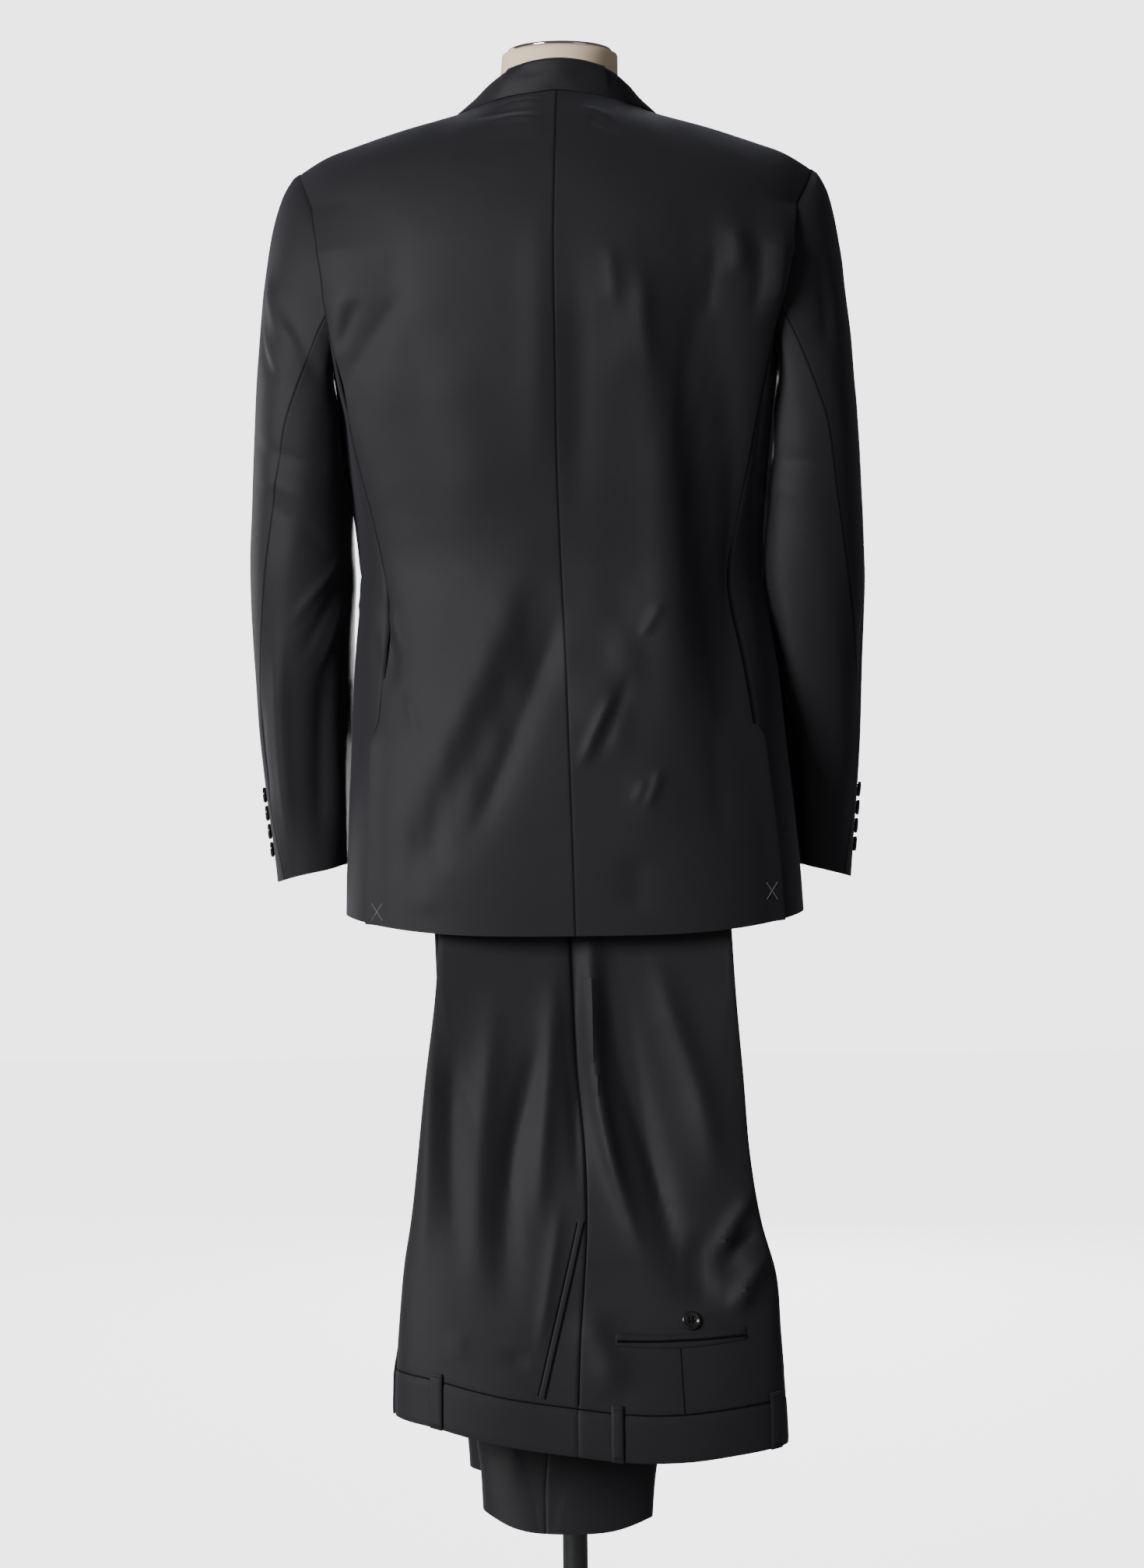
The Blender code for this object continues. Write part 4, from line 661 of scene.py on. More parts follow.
# %% Folds of the jacket's fronts, at (x, z) in mm
FRONT_CREASES = (
    ("left pull to the button", 8, -1.6, (-150, 1190), (-90, 1150), (-45, 1122)),
    ("left pull, second", 6, 1.2, (-140, 1170), (-85, 1135), (-50, 1112)),
    ("right pull to the button", 8, -1.5, (160, 1170), (100, 1130), (55, 1105)),
    ("right pull, second", 6, 1.0, (140, 1140), (95, 1108), (60, 1092)),
    ("left skirt trough", 13, -2.0, (-120, 1000), (-128, 900), (-120, 820)),
    ("right skirt trough", 12, -1.8, (110, 990), (122, 900), (128, 830)),
    ("left chest drape", 9, 1.5, (-152, 1420), (-148, 1350), (-136, 1280)),
    ("right chest drape", 9, 1.5, (148, 1420), (152, 1350), (148, 1285)),
    ("left armhole drag", 6, -1.2, (-178, 1400), (-166, 1340), (-150, 1290)),
    ("right armhole drag", 6, -1.2, (176, 1405), (170, 1350), (158, 1300)),
    ("left side nick", 5, -1.0, (-172, 1120), (-140, 1105)),
    ("right side nick", 5, -1.0, (168, 1118), (138, 1100)),
)

# %% Folds of the side panels, at (y, z) in mm
SIDE_CREASES = (
    ("waist nick", 6, -1.4, (-70, 1110), (-30, 1120), (20, 1112)),
    ("waist nick, lower", 5, 1.0, (-60, 1085), (-10, 1092), (40, 1080)),
    ("hip drape", 12, -1.6, (0, 1040), (10, 950), (6, 860)),
    ("underarm drag", 8, -1.5, (-40, 1280), (-30, 1220), (-36, 1160)),
)

# %% Folds of the sleeves, at (distance round from the back towards the outside, z) in mm
SLEEVE_CREASES = {
    RIGHT: (
        ("pressed by the body", 26, -4.0, (-80, 1380), (-80, 1330), (-78, 1270)),
        ("inner long ridge", 6, 3.5, (-52, 1100), (-34, 1045), (-12, 978)),
        ("dark beside it", 8, -3.5, (-66, 1080), (-50, 1020), (-30, 960)),
        ("elbow crush", 9, -1.2, (-66, 1238), (-30, 1216), (16, 1206)),
        ("elbow crush, lower", 9, 0.8, (-60, 1200), (-20, 1186), (20, 1160)),
        ("front elbow crush", 8, -3.8, (130, 1170), (160, 1185), (190, 1172)),
        ("front elbow crush, second", 7, -3.2, (125, 1130), (158, 1142), (186, 1134)),
        ("upper outer drag", 9, -2.6, (50, 1400), (60, 1330), (52, 1270)),
        ("upper back drag", 7, -2.6, (0, 1410), (8, 1350), (4, 1300)),
        ("forearm drape", 8, -2.1, (45, 1090), (52, 1020), (44, 960)),
        ("cuff drag", 6, 1.6, (0, 960), (12, 915), (10, 880)),
    ),
    LEFT: (
        ("pressed by the body", 26, -2.5, (-80, 1400), (-80, 1360), (-78, 1320)),
        ("fullness against the body", 24, 6.0, (-74, 1330), (-76, 1220), (-74, 1130)),
        ("back ridge", 9, 3.4, (30, 1400), (16, 1350), (-10, 1300)),
        ("back trough", 8, -3.0, (10, 1370), (-4, 1320), (-20, 1270)),
        ("upper drag", 7, -3.2, (52, 1372), (30, 1320), (6, 1278)),
        ("upper drag, second", 5, 1.9, (38, 1360), (18, 1312), (0, 1282)),
        ("elbow fold", 9, -1.8, (55, 1246), (10, 1220), (-36, 1206)),
        ("elbow fold ridge", 8, 1.4, (40, 1210), (4, 1190), (-34, 1160)),
        ("elbow fold, third", 7, -1.4, (26, 1186), (-2, 1160), (-30, 1120)),
        ("thin ridge", 4, 2.4, (-40, 1140), (-14, 1105), (8, 1066)),
        ("thin ridge, second", 4, 2.1, (-44, 1110), (-26, 1066), (-10, 1020)),
        ("trough between", 6, -2.4, (-36, 1118), (-16, 1078), (2, 1034)),
        ("front elbow crush", 8, -3.8, (130, 1170), (160, 1186), (190, 1170)),
        ("front elbow crush, second", 7, -3.0, (122, 1126), (155, 1140), (188, 1130)),
        ("forearm drape", 8, -2.2, (40, 1010), (48, 950), (40, 900)),
        ("forearm ridge", 9, 5.0, (14, 1080), (18, 1000), (18, 920), (14, 850)),
        ("forearm inner shade", 13, -5.0, (-22, 1070), (-14, 980), (-12, 900), (-12, 845)),
    ),
}

# %% Folds of the trousers' near stretch, at (x, z) in mm
TROUSER_CREASES = (
    ("trough at the outseam", 9, -6.0, (-1, 830), (3, 698), (5, 632), (7, 559)),
    ("ridge beside the outseam", 12, 12.0, (19, 830), (19, 711), (23, 638), (43, 566), (69, 500)),
    ("slanting trough", 13, -9.0, (34, 810), (44, 698), (60, 632), (79, 559), (104, 455)),
    ("slanting ridge", 17, 7.0, (70, 790), (94, 704), (120, 638), (128, 560)),
    ("seat ridge", 9, 7.0, (164, 572), (137, 539), (125, 510)),
    ("seat crescent", 9, -5.0, (168, 537), (144, 525), (129, 495)),
    ("seat ridge, lower", 11, 9.0, (176, 520), (155, 499), (136, 462)),
    ("seat drag", 12, -6.0, (112, 540), (108, 505), (116, 468)),
    ("left trough", 14, -6.5, (-20, 720), (-30, 678), (-46, 640), (-57, 568), (-58, 460)),
    ("left ridge", 13, 5.0, (-12, 770), (-19, 674), (-24, 618), (-30, 530)),
    ("left ridge, second", 17, 4.5, (-66, 760), (-74, 638), (-85, 572), (-80, 460)),
    ("crease swell", 14, 4.0, (-121, 777), (-125, 612), (-133, 467)),
    ("crease trough", 12, -4.0, (-101, 711), (-105, 599), (-96, 500)),
    ("pocket drag", 9, 2.4, (-8, 570), (-20, 493), (-31, 430)),
    ("waist swell", 20, 4.0, (6, 480), (29, 434), (41, 401)),
    ("waist nick", 7, -2.2, (-51, 444), (-45, 424)),
    ("waist nick, left", 6, 1.6, (-100, 460), (-96, 430)),
)

# %% [markdown]
# ## Cut pieces as sheets of cloth
# Each piece becomes an outer side, an inner side one cloth's thickness in, and a rim all round. It also
# gets its cloth coordinates: how far each point is across and along the piece, in metres. Those are the
# flat cut of the piece, so they carry the weave and say how large the cloth was before it was sewn.

# %% Building one sheet
# The outer grid of every sheet, for the stitches that follow its edges
GRIDS = {}
# A strip that shows less than this was cut at least this wide, with the rest turned in
NARROWEST_CUT = 10 * MM
RIM_ANGLE = math.radians(48)
# The jacket hangs on the form, and the trousers lie folded over the bar
HUNG, FOLDED = ("hung", ["form_bust"]), ("folded", ["trouser_bar"])


def sheet_mesh(name, outer, thickness, inside=1, keep=None, inner=None, middle=None, groove=None):
    """A closed mesh from a grid: outer side, inner side and rims, with the cloth's own coordinates.

    inside: 1 for a lined inner side, 0 for one of wool. keep: the grid's cells that are cloth. inner: the
    inner side's grid, where it isn't worked out from the outer one. middle: the column where the warp is
    nought. groove: how deep in a seam each point is, which sets how much shade the wool paints there."""
    rows, columns = outer.shape[:2]
    keep = np.ones((rows - 1, columns - 1), bool) if keep is None else keep
    middle = columns // 2 if middle is None else middle
    if inner is None:
        inner = outer - thickness * normals_of(outer)
    elif (normals_of(outer) * (outer - inner)).sum() < 0:
        outer, inner, keep, middle = outer[:, ::-1], inner[:, ::-1], keep[:, ::-1], columns - 1 - middle
        groove = groove if groove is None else groove[:, ::-1]
    up, _, over, _ = distances(outer)
    over = over - over[:, middle:middle + 1]
    points = np.concatenate([outer.reshape(-1, 3), inner.reshape(-1, 3)])
    spread = np.stack([over, up], axis=-1).reshape(-1, 2)
    spread = np.concatenate([spread, spread])
    count = rows * columns
    index = np.arange(count).reshape(rows, columns)
    cells = np.stack([index[:-1, :-1], index[:-1, 1:], index[1:, 1:], index[1:, :-1]], axis=-1)
    outside = cells[keep]
    inside_cells = outside[:, ::-1] + count
    directed = dict.fromkeys((a, b) for cell in outside.tolist() for a, b in zip(cell, cell[1:] + cell[:1]))
    rims = [(b, a, a + count, b + count) for a, b in directed if (b, a) not in directed]
    faces = np.concatenate([outside, inside_cells, np.array(rims)])
    mesh = bpy.data.meshes.new(name)
    mesh.from_pydata(points.tolist(), [], faces.tolist())
    layer = mesh.uv_layers.new(name="cloth")
    corners = np.empty(len(mesh.loops), np.int32)
    mesh.loops.foreach_get("vertex_index", corners)
    layer.data.foreach_set("uv", spread[corners].astype(np.float32).ravel())
    # Each point's seam depth, by which the wool paints shade into the seams
    if groove is not None:
        depth = mesh.attributes.new("groove", "FLOAT", "POINT")
        depth.data.foreach_set("value", np.tile(groove.ravel(), 2).astype(np.float32))
    which = np.zeros(len(faces), np.int32)
    which[len(outside):len(outside) * 2] = inside
    mesh.materials.append(wool)
    if inside:
        mesh.materials.append(lining)
    mesh.polygons.foreach_set("material_index", which)
    mesh.shade_smooth()
    mesh.set_sharp_from_angle(angle=RIM_ANGLE)
    area = float(np.linalg.norm(np.cross(
        points[outside[:, 2]] - points[outside[:, 0]], points[outside[:, 3]] - points[outside[:, 1]]
    ), axis=-1).sum() / 2)
    flat = (float(np.ptp(spread[:, 0])), float(up[-1].max()))
    return mesh, flat, area


def add_piece(name, mesh, *nodes, slot=None):
    """Puts a finished mesh in the scene, riding on the one body, in place of its solids."""
    thing = in_scene(name, mesh)
    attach(thing, "root")
    if nodes:
        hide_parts(*nodes)
    return thing


def add_sheet(name, outer, thickness, how, **more):
    """A sheet of cloth in place of the solid of the same name."""
    mesh, flat, area = sheet_mesh(f"{name}_cloth", outer, thickness, **more)
    thing = add_piece(f"{name}_cloth", mesh, name)
    flat = (max(flat[0], NARROWEST_CUT), flat[1])
    area = min(area, flat[0] * flat[1])
    GRIDS[name] = outer
    cut = [round(length / MM) for length in flat]
    print(f"{name}: {len(mesh.polygons)} faces, cut {cut[0]} by {cut[1]} mm, {area:.4f} m2")

# %% Seams
SEAM_SINK = 0.6 * MM
SEAM_WIDTH = 1.3 * MM


def seam_dip(grid, seams):
    """How deep in a seam each point is, from 0 on open cloth to 1 at a sewn edge. It sinks the cloth
    there and sets how much shade is painted into the seam.
    """
    dip = np.zeros(grid.shape[:2])
    for sewn, apart in zip(seams, distances(grid)):
        if sewn:
            dip = np.maximum(dip, np.exp(-((apart / SEAM_WIDTH) ** 2)))
    return dip

# %% [markdown]
# ## The sleeves
# A jacket sleeve is cut as two pieces, a wide top sleeve and a narrow under sleeve, sewn behind the arm and
# in front of it. Its folds are placed by how far round the arm they are, because from the side x says
# nothing. The sleeves come before the body, because the back's cloth hangs over the armhole seam and rests
# on them.

# %% Sleeves
JACKET_CELL = 3.6 * MM
JACKET_WALL = 1.6 * MM
SEWN, FREE = True, False
# The sleeves' middle line: its distance from x = 0, how far both lie to one side, and y by height
SLEEVE_AXIS_X, SLEEVES_ASIDE = 0.2335, 0.0065
SLEEVE_Z, SLEEVE_Y = (0.835, 0.958, 1.130, 1.245, 1.45), (0.053, 0.032, 0.004, -0.004, -0.004)
SLEEVE_ROUND = 0.050
# How far the sleeve head reaches on into the armhole, and how deep it sinks there
HEAD_REACH, HEAD_SINK = 4 * MM, 1.2 * MM


def sleeve_place(grid, side):
    """Distance round the sleeve from its back towards the outside."""
    middle_y = np.interp(grid[..., 2], SLEEVE_Z, SLEEVE_Y)
    middle_x = SLEEVE_AXIS_X - SLEEVES_ASIDE * side
    turn = np.arctan2(side * grid[..., 0] - middle_x, -(grid[..., 1] - middle_y))
    return turn * SLEEVE_ROUND


def sleeve_piece(name, size, side):
    seams = (FREE, SEWN, SEWN, SEWN)
    grid = finer(panel_grid(name, *size), JACKET_CELL, seams)
    normal = normals_of(grid)
    round_it = sleeve_place(grid, side)
    laps = [round_it + turn * 2 * math.pi * SLEEVE_ROUND for turn in (0, -1, 1)]
    shift = sum(fold_depth(SLEEVE_CREASES[side], lap, grid[..., 2]) for lap in laps)
    groove = seam_dip(grid, seams)
    to_head = distances(grid)[1]
    head = np.exp(-((to_head / HEAD_REACH) ** 2))
    shift = (shift + waviness(grid, 0.05, 0.6 * MM, 5.0)) * smooth(to_head / 0.03) - SEAM_SINK * groove
    shift = shift - HEAD_SINK * head
    toward_head = unit(np.gradient(grid, axis=0))
    outer = grid + shift[..., None] * normal + (HEAD_REACH * head)[..., None] * toward_head
    add_sheet(name, outer, JACKET_WALL, HUNG, groove=groove)


for side in (LEFT, RIGHT):
    sleeve_piece(f"sleeve_top_{WORDS[side]}", (13, 11), side)
    sleeve_piece(f"sleeve_under_{WORDS[side]}", (13, 8), side)

# %% [markdown]
# ## The jacket's body
# Two backs meet in the centre back seam, a side panel lies under each arm, and two fronts close the jacket.
# The creases of the back are used wherever the cloth faces back, those of the fronts where it faces
# forward, and those of the sides where it faces sideways. Beside a seam both panels must move as one, so
# there the folds and their direction follow from the place alone. Below the waist the back laps over the
# side panels, in two closed vents.

# %% The cloth as one surface to aim at
AIM_FROM = 0.03
FORWARD = Vector((0, 1, 0))


def cloth_surface(*starts):
    """The sheets made so far, or those whose names start like this, as one surface."""
    points, faces, passed = [], [], 0
    for thing in bpy.data.objects:
        if not thing.name.endswith("_cloth") or not thing.name.startswith(starts or ("",)):
            continue
        mesh = thing.data
        places = np.empty(len(mesh.vertices) * 3, np.float32)
        mesh.vertices.foreach_get("co", places)
        points.append(places.reshape(-1, 3))
        corners = np.empty(len(mesh.loops), np.int32)
        mesh.loops.foreach_get("vertex_index", corners)
        faces.append(corners.reshape(-1, 4) + passed)
        passed += len(mesh.vertices)
    return BVHTree.FromPolygons(np.concatenate(points).tolist(), np.concatenate(faces).tolist())

# %% Jacket body
TORSO_WIDTH, TORSO_DEPTH = 0.175, 0.125
SEAM_BLEND = 12 * MM
# How far the back's fullness hangs out over each armhole, at these heights
FULLNESS_Z = (1.100, 1.165, 1.215, 1.270, 1.355, 1.400, 1.445)
FULLNESS = {
    LEFT: (0.0, 0.006, 0.011, 0.016, 0.021, 0.015, 0.0),
    RIGHT: (0.0, 0.006, 0.009, 0.011, 0.017, 0.018, 0.0),
}
FULLNESS_REACH = {"back": 0.070, "side": 0.060}
COVER_REACH = {"back": 0.060, "side": 0.012}
MOST_COVER, COVER_GAP, COVER_CELLS = 0.014, 0.5 * MM, 3
# The fullness hangs a little back as it hangs out
BACK_SLANT = -0.25
# How far the side panels' seam edge reaches on under the back
UNDER_LAP = 5.0 * MM
UNDER_SINK = 1.3 * MM
VENT_TOP, VENT_RAISE, VENT_LAP = 0.985, 1.8 * MM, 4.0 * MM
VENT_REACH, LAP_REACH = 9 * MM, 5 * MM
SLEEVES = cloth_surface("sleeve")


def body_out(grid):
    """Outward directions that follow from the place alone."""
    flat = unit(np.stack([
        (grid[..., 0] + 0.003) / TORSO_WIDTH**2, grid[..., 1] / TORSO_DEPTH**2, np.zeros(grid.shape[:2])
    ], axis=-1))
    flat[..., 2] = 1.6 * smooth((grid[..., 2] - 1.44) / 0.08)
    return unit(flat)


def jacket_creases(grid):
    out = body_out(grid)
    back = smooth((-out[..., 1] - 0.10) / 0.5) * fold_depth(BACK_CREASES, grid[..., 0], grid[..., 2])
    front = smooth((out[..., 1] - 0.10) / 0.5) * fold_depth(FRONT_CREASES, grid[..., 0], grid[..., 2])
    side = smooth((np.abs(out[..., 0]) - 0.45) / 0.4) * fold_depth(SIDE_CREASES, grid[..., 1], grid[..., 2])
    return back + front + side + waviness(grid, 0.07, 0.5 * MM, 3.0) + waviness(grid, 0.022, 0.12 * MM, 9.0)


def spread_out(field, cells):
    """The largest value nearby, then the average of those, so that nothing is left bare and no step shows."""
    for gather, axis in ((np.max, 0), (np.max, 1), (np.mean, 0), (np.mean, 1)):
        turned = np.moveaxis(field, axis, 0)
        padded = np.pad(turned, ((cells, cells), (0, 0)), mode="edge")
        turned = gather([padded[step:step + len(turned)] for step in range(2 * cells + 1)], axis=0)
        field = np.moveaxis(turned, 0, axis)
    return field


def hung_over(grid, side, to_seam, kind):
    """The cloth moved out over the armhole, and there laid over the sleeve."""
    high = grid[..., 2]
    amount = np.interp(high, FULLNESS_Z, FULLNESS[side]) * smooth(1 - to_seam / FULLNESS_REACH[kind])
    moved = grid + amount[..., None] * np.array([side, BACK_SLANT, 0.0])
    cover = np.zeros(high.shape)
    near = (to_seam < COVER_REACH[kind]) & (high > FULLNESS_Z[0]) & (high < FULLNESS_Z[-1])
    for row, column in np.argwhere(near):
        start = Vector((moved[row, column, 0], -0.3, moved[row, column, 2]))
        hit = SLEEVES.ray_cast(start, FORWARD, 0.3)[0]
        if hit is not None:
            cover[row, column] = max(0.0, moved[row, column, 1] - hit.y + JACKET_WALL + COVER_GAP)
    cover = np.minimum(cover, MOST_COVER)
    fade = smooth((COVER_REACH[kind] + 0.01 - to_seam) / 0.02) * smooth((FULLNESS_Z[-1] - high) / 0.02)
    moved[..., 1] -= spread_out(cover, COVER_CELLS) * fade
    return moved


def jacket_piece(name, size, seams, cell):
    kind, word = name.split("_")
    side = LEFT if word == "left" else RIGHT
    at_back = 2 if (kind == "back") == (side == LEFT) else 3
    reach = [SEAM_REACH] * 4
    if kind == "side":
        reach[at_back] = UNDER_LAP
    grid = finer(panel_grid(name, *size), cell, seams, reach)
    edges = distances(grid)
    groove = seam_dip(grid, seams)
    shift = jacket_creases(grid)
    if kind != "front":
        to_seam = edges[at_back]
        vent = smooth((VENT_TOP - grid[..., 2]) / 0.025) * np.exp(-((to_seam / VENT_REACH) ** 2))
        grid = hung_over(grid, side, to_seam, kind)
        if kind == "back":
            shift = shift + VENT_RAISE * vent
            groove = groove * (1 - np.minimum(1, 1.2 * vent))
            lap = VENT_LAP * vent * np.exp(-((to_seam / LAP_REACH) ** 2))
            grid = grid + lap[..., None] * np.array([side, 0.4, 0])
        else:
            shift = shift - UNDER_SINK * np.exp(-((to_seam / UNDER_LAP) ** 2))
    to_edge = np.min([apart for sewn, apart in zip(seams, edges) if sewn], axis=0)
    share = np.exp(-((to_edge / SEAM_BLEND) ** 2))[..., None]
    direction = unit(normals_of(grid) * (1 - share) + body_out(grid) * share)
    outer = grid + (shift - SEAM_SINK * groove)[..., None] * direction
    add_sheet(name, outer, JACKET_WALL, HUNG, groove=groove)


for name, size, cell in (("back", (20, 11), 3.0 * MM), ("side", (15, 8), JACKET_CELL)):
    for word in ("left", "right"):
        jacket_piece(f"{name}_{word}", size, (FREE, SEWN, SEWN, SEWN), cell)
jacket_piece("front_left", (20, 10), (FREE, SEWN, FREE, SEWN), 4.2 * MM)
jacket_piece("front_right", (20, 10), (FREE, SEWN, SEWN, FREE), 4.2 * MM)

# %% [markdown]
# ## Collar, lapels, flaps and the breast welt
# The collar stands up from the neck seam and falls over its own fold. The lapels are the fronts turned
# back. All are made the same way as the panels, from their own walls.

# %% Aiming at the cloth
CLOTH = cloth_surface("back", "side", "front", "sleeve")


def on_cloth(place, out):
    """The cloth's outermost place under this one, seen from outside, and which way it faces there."""
    out = Vector(out).normalized()
    hit, normal, _, _ = CLOTH.ray_cast(Vector(place) + AIM_FROM * out, -out, 2 * AIM_FROM)
    if hit is None:
        return np.array(place), np.array(out)
    return np.array(hit), np.array(normal if normal.dot(out) > 0 else -normal)

# %% Collar and lapels
PRESSED_REACH, PRESSED_GAP = 26 * MM, 0.25 * MM
# The collar's fold is one arch round the neck: its greatest height, by how far it is from the middle
COLLAR_MIDDLE_X = -0.002
ARCH_OFF = (0.0, 0.018, 0.035, 0.052, 0.061, 0.069, 0.081, 0.095, 0.105, 0.117)
ARCH_HIGH = (1.5775, 1.5762, 1.5736, 1.5690, 1.5648, 1.5595, 1.5508, 1.5415, 1.5383, 1.5345)
FOLD_LOW, FOLD_HIGH, FOLD_NARROWER = 1.540, 1.572, 0.05
# Below the fold the fall slopes out to the shoulders: half its width, by height
FALL_HEIGHTS = (1.536, 1.541, 1.548, 1.555, 1.562, 1.570)
FALL_HALF_WIDTHS = (0.130, 0.101, 0.091, 0.083, 0.077, 0.073)
CORNER = 3.0 * MM
# Beside the neck the fall runs nearly straight from the fold to its free edge
FALL_STRAIGHT, STRAIGHT_FROM, STRAIGHT_TO = 0.9, 0.020, 0.050
# The free edge is a little higher behind the neck
EDGE_RAISED, RAISED_TO = 2.2 * MM, 0.090
# How many columns on each side of one its move is averaged over
PRESSED_OVER, LOWERED_OVER = 3, 6


def averaged(row, cells):
    """A row of values, each the average of those up to this many cells away."""
    shares = np.ones(2 * cells + 1) / (2 * cells + 1)
    return np.convolve(np.pad(row, cells, mode="edge"), shares, mode="valid")


def pressed(grid, normal, thickness):
    """Moves a laid piece so that its free lower edge lies on the cloth under it."""
    level = smooth((grid[0, :, 1] + 0.03) / 0.03)
    ways = unit(normal[0] * np.stack([np.ones_like(level), np.ones_like(level), level], axis=-1))
    gaps = np.full(grid.shape[1], np.nan)
    for column, way in enumerate(ways):
        place, out = Vector(grid[0, column]), Vector(way)
        hit = CLOTH.ray_cast(place + AIM_FROM * out, -out, 2 * AIM_FROM)[0]
        if hit is not None:
            gaps[column] = AIM_FROM - (hit - place - AIM_FROM * out).length + thickness + PRESSED_GAP
    found = np.flatnonzero(~np.isnan(gaps))
    gaps = averaged(np.interp(np.arange(len(gaps)), found, gaps[found]), PRESSED_OVER)
    print(f"moved onto the cloth by {gaps.min() * 1000:.1f} to {gaps.max() * 1000:.1f} mm")
    share = (1 - np.clip(distances(grid)[0] / PRESSED_REACH, 0, 1)) ** 1.2
    return grid + (gaps * share)[..., None] * ways


def close_round_neck(grid):
    """Draws the collar in beside the neck and lowers its fold there into one even arch."""
    narrower = FOLD_NARROWER * smooth((grid[..., 2] - FOLD_LOW) / (FOLD_HIGH - FOLD_LOW))
    grid[..., 0] = COLLAR_MIDDLE_X + (grid[..., 0] - COLLAR_MIDDLE_X) * (1 - narrower)
    fold = grid[..., 2].argmax(axis=0)
    columns = np.arange(grid.shape[1])
    top = grid[fold, columns]
    room = np.interp(np.abs(top[:, 0] - COLLAR_MIDDLE_X), ARCH_OFF, ARCH_HIGH) - top[:, 2]
    drop = averaged(np.maximum(0.0, -room), LOWERED_OVER)
    below_fold = np.arange(grid.shape[0])[:, None] <= fold
    low = np.where(below_fold, grid[0, :, 2], grid[-1, :, 2])
    share = np.clip((grid[..., 2] - low) / np.maximum(top[:, 2] - low, 1 * MM), 0, 1)
    grid[..., 2] -= drop * smooth(share)
    up = distances(grid)[0]
    part = np.clip(up / np.maximum(up[fold, columns], 1 * MM), 0, 1)[..., None]
    straight = grid[0] * (1 - part) + grid[fold, columns] * part
    beside = smooth((np.abs(top[:, 0] - COLLAR_MIDDLE_X) - STRAIGHT_FROM) / (STRAIGHT_TO - STRAIGHT_FROM))
    share = FALL_STRAIGHT * beside * below_fold
    grid = grid + (straight - grid) * share[..., None]
    near_middle = smooth((RAISED_TO - np.abs(top[:, 0] - COLLAR_MIDDLE_X)) / 0.05) * (grid[0, :, 1] < 0)
    grid[..., 2] += EDGE_RAISED * near_middle * (1 - part[..., 0]) * below_fold
    off = grid[..., 0] - COLLAR_MIDDLE_X
    widest = np.interp(grid[..., 2], FALL_HEIGHTS, FALL_HALF_WIDTHS)
    near = widest - CORNER * np.logaddexp(0, (widest - np.abs(off)) / CORNER)
    near = np.where(np.abs(off) < 0.02, np.abs(off), near)
    grid[..., 0] = COLLAR_MIDDLE_X + np.sign(off) * near
    print(f"collar's fold lowered by up to {drop.max() * 1000:.1f} mm")
    return grid


def small_piece(name, size, cell, thickness):
    grid = finer(panel_grid(name, *size), cell, (FREE, FREE, FREE, FREE))
    if name == "collar":
        grid = close_round_neck(grid)
        grid = pressed(grid, normals_of(grid), thickness)
    shift = waviness(grid, 0.03, 0.15 * MM, 7.0)
    if name != "collar":
        shift = shift + jacket_creases(grid)
    outer = grid + shift[..., None] * normals_of(grid)
    add_sheet(name, outer, thickness, HUNG, inside=0)


small_piece("collar", (7, 21), 2.5 * MM, 1.6 * MM)
for word in ("left", "right"):
    small_piece(f"lapel_{word}", (10, 5), 3.0 * MM, JACKET_WALL)
    small_piece(f"flap_{word}", (6, 3), 2.5 * MM, 1.4 * MM)
small_piece("breast_welt", (6, 3), 2.5 * MM, 1.4 * MM)

# %% [markdown]
# ## The trousers
# They are pressed flat, the right leg over the left one, and folded over the bar inside the jacket's hem,
# so the waist and both hems hang down. A simulation could drape them, but the stack is held flat by its
# creases, and the photograph shows where each edge is. So each leg is worked out row by row from two tables
# of sizes, one for the near stretch with the waist and one for the far stretch with the hems, joined by a
# half turn round the bar.

# %% Sizes of the folded stack
TROUSER_WALL, BAND_WALL = 1.2 * MM, 2.4 * MM
LEG_HALF, LEG_CENTRE = 1.0 * MM, 1.85 * MM
SEAM_GAP = 0.3 * MM
BAR_RADIUS, BAR_Y, BAR_Z = 8 * MM, -0.103, 0.803
STACK_RADIUS = BAR_RADIUS + 0.5 * MM + 2 * LEG_HALF + TROUSER_WALL + 0.25 * MM
WAIST_SEAM_Z, WAIST_Z = 0.386, 0.348
HEM_Z = {RIGHT: 0.288, LEFT: 0.266}
# How far the left leg shows past the right one's front crease, at the waist and above
LEFT_SHIFTS = (-0.002, 0.0006)


def table(names, *rows):
    """Named columns from short rows. The first column is the one that places are looked up by."""
    return dict(zip(names.split(), np.array(rows, float).T))


def at(columns, name, where):
    """A column's value at any place of the first column, on a smooth curve through its rows."""
    keys, values = next(iter(columns.values())), columns[name]
    slopes = np.gradient(values, keys)
    where = np.clip(np.asarray(where, float), keys[0], keys[-1])
    row = np.clip(np.searchsorted(keys, where, side="right") - 1, 0, len(keys) - 2)
    span = keys[row + 1] - keys[row]
    t = (where - keys[row]) / span
    start = values[row] * (1 + 2 * t) * (1 - t) ** 2 + slopes[row] * span * t * (1 - t) ** 2
    end = values[row + 1] * t * t * (3 - 2 * t) - slopes[row + 1] * span * t * t * (1 - t)
    return start + end


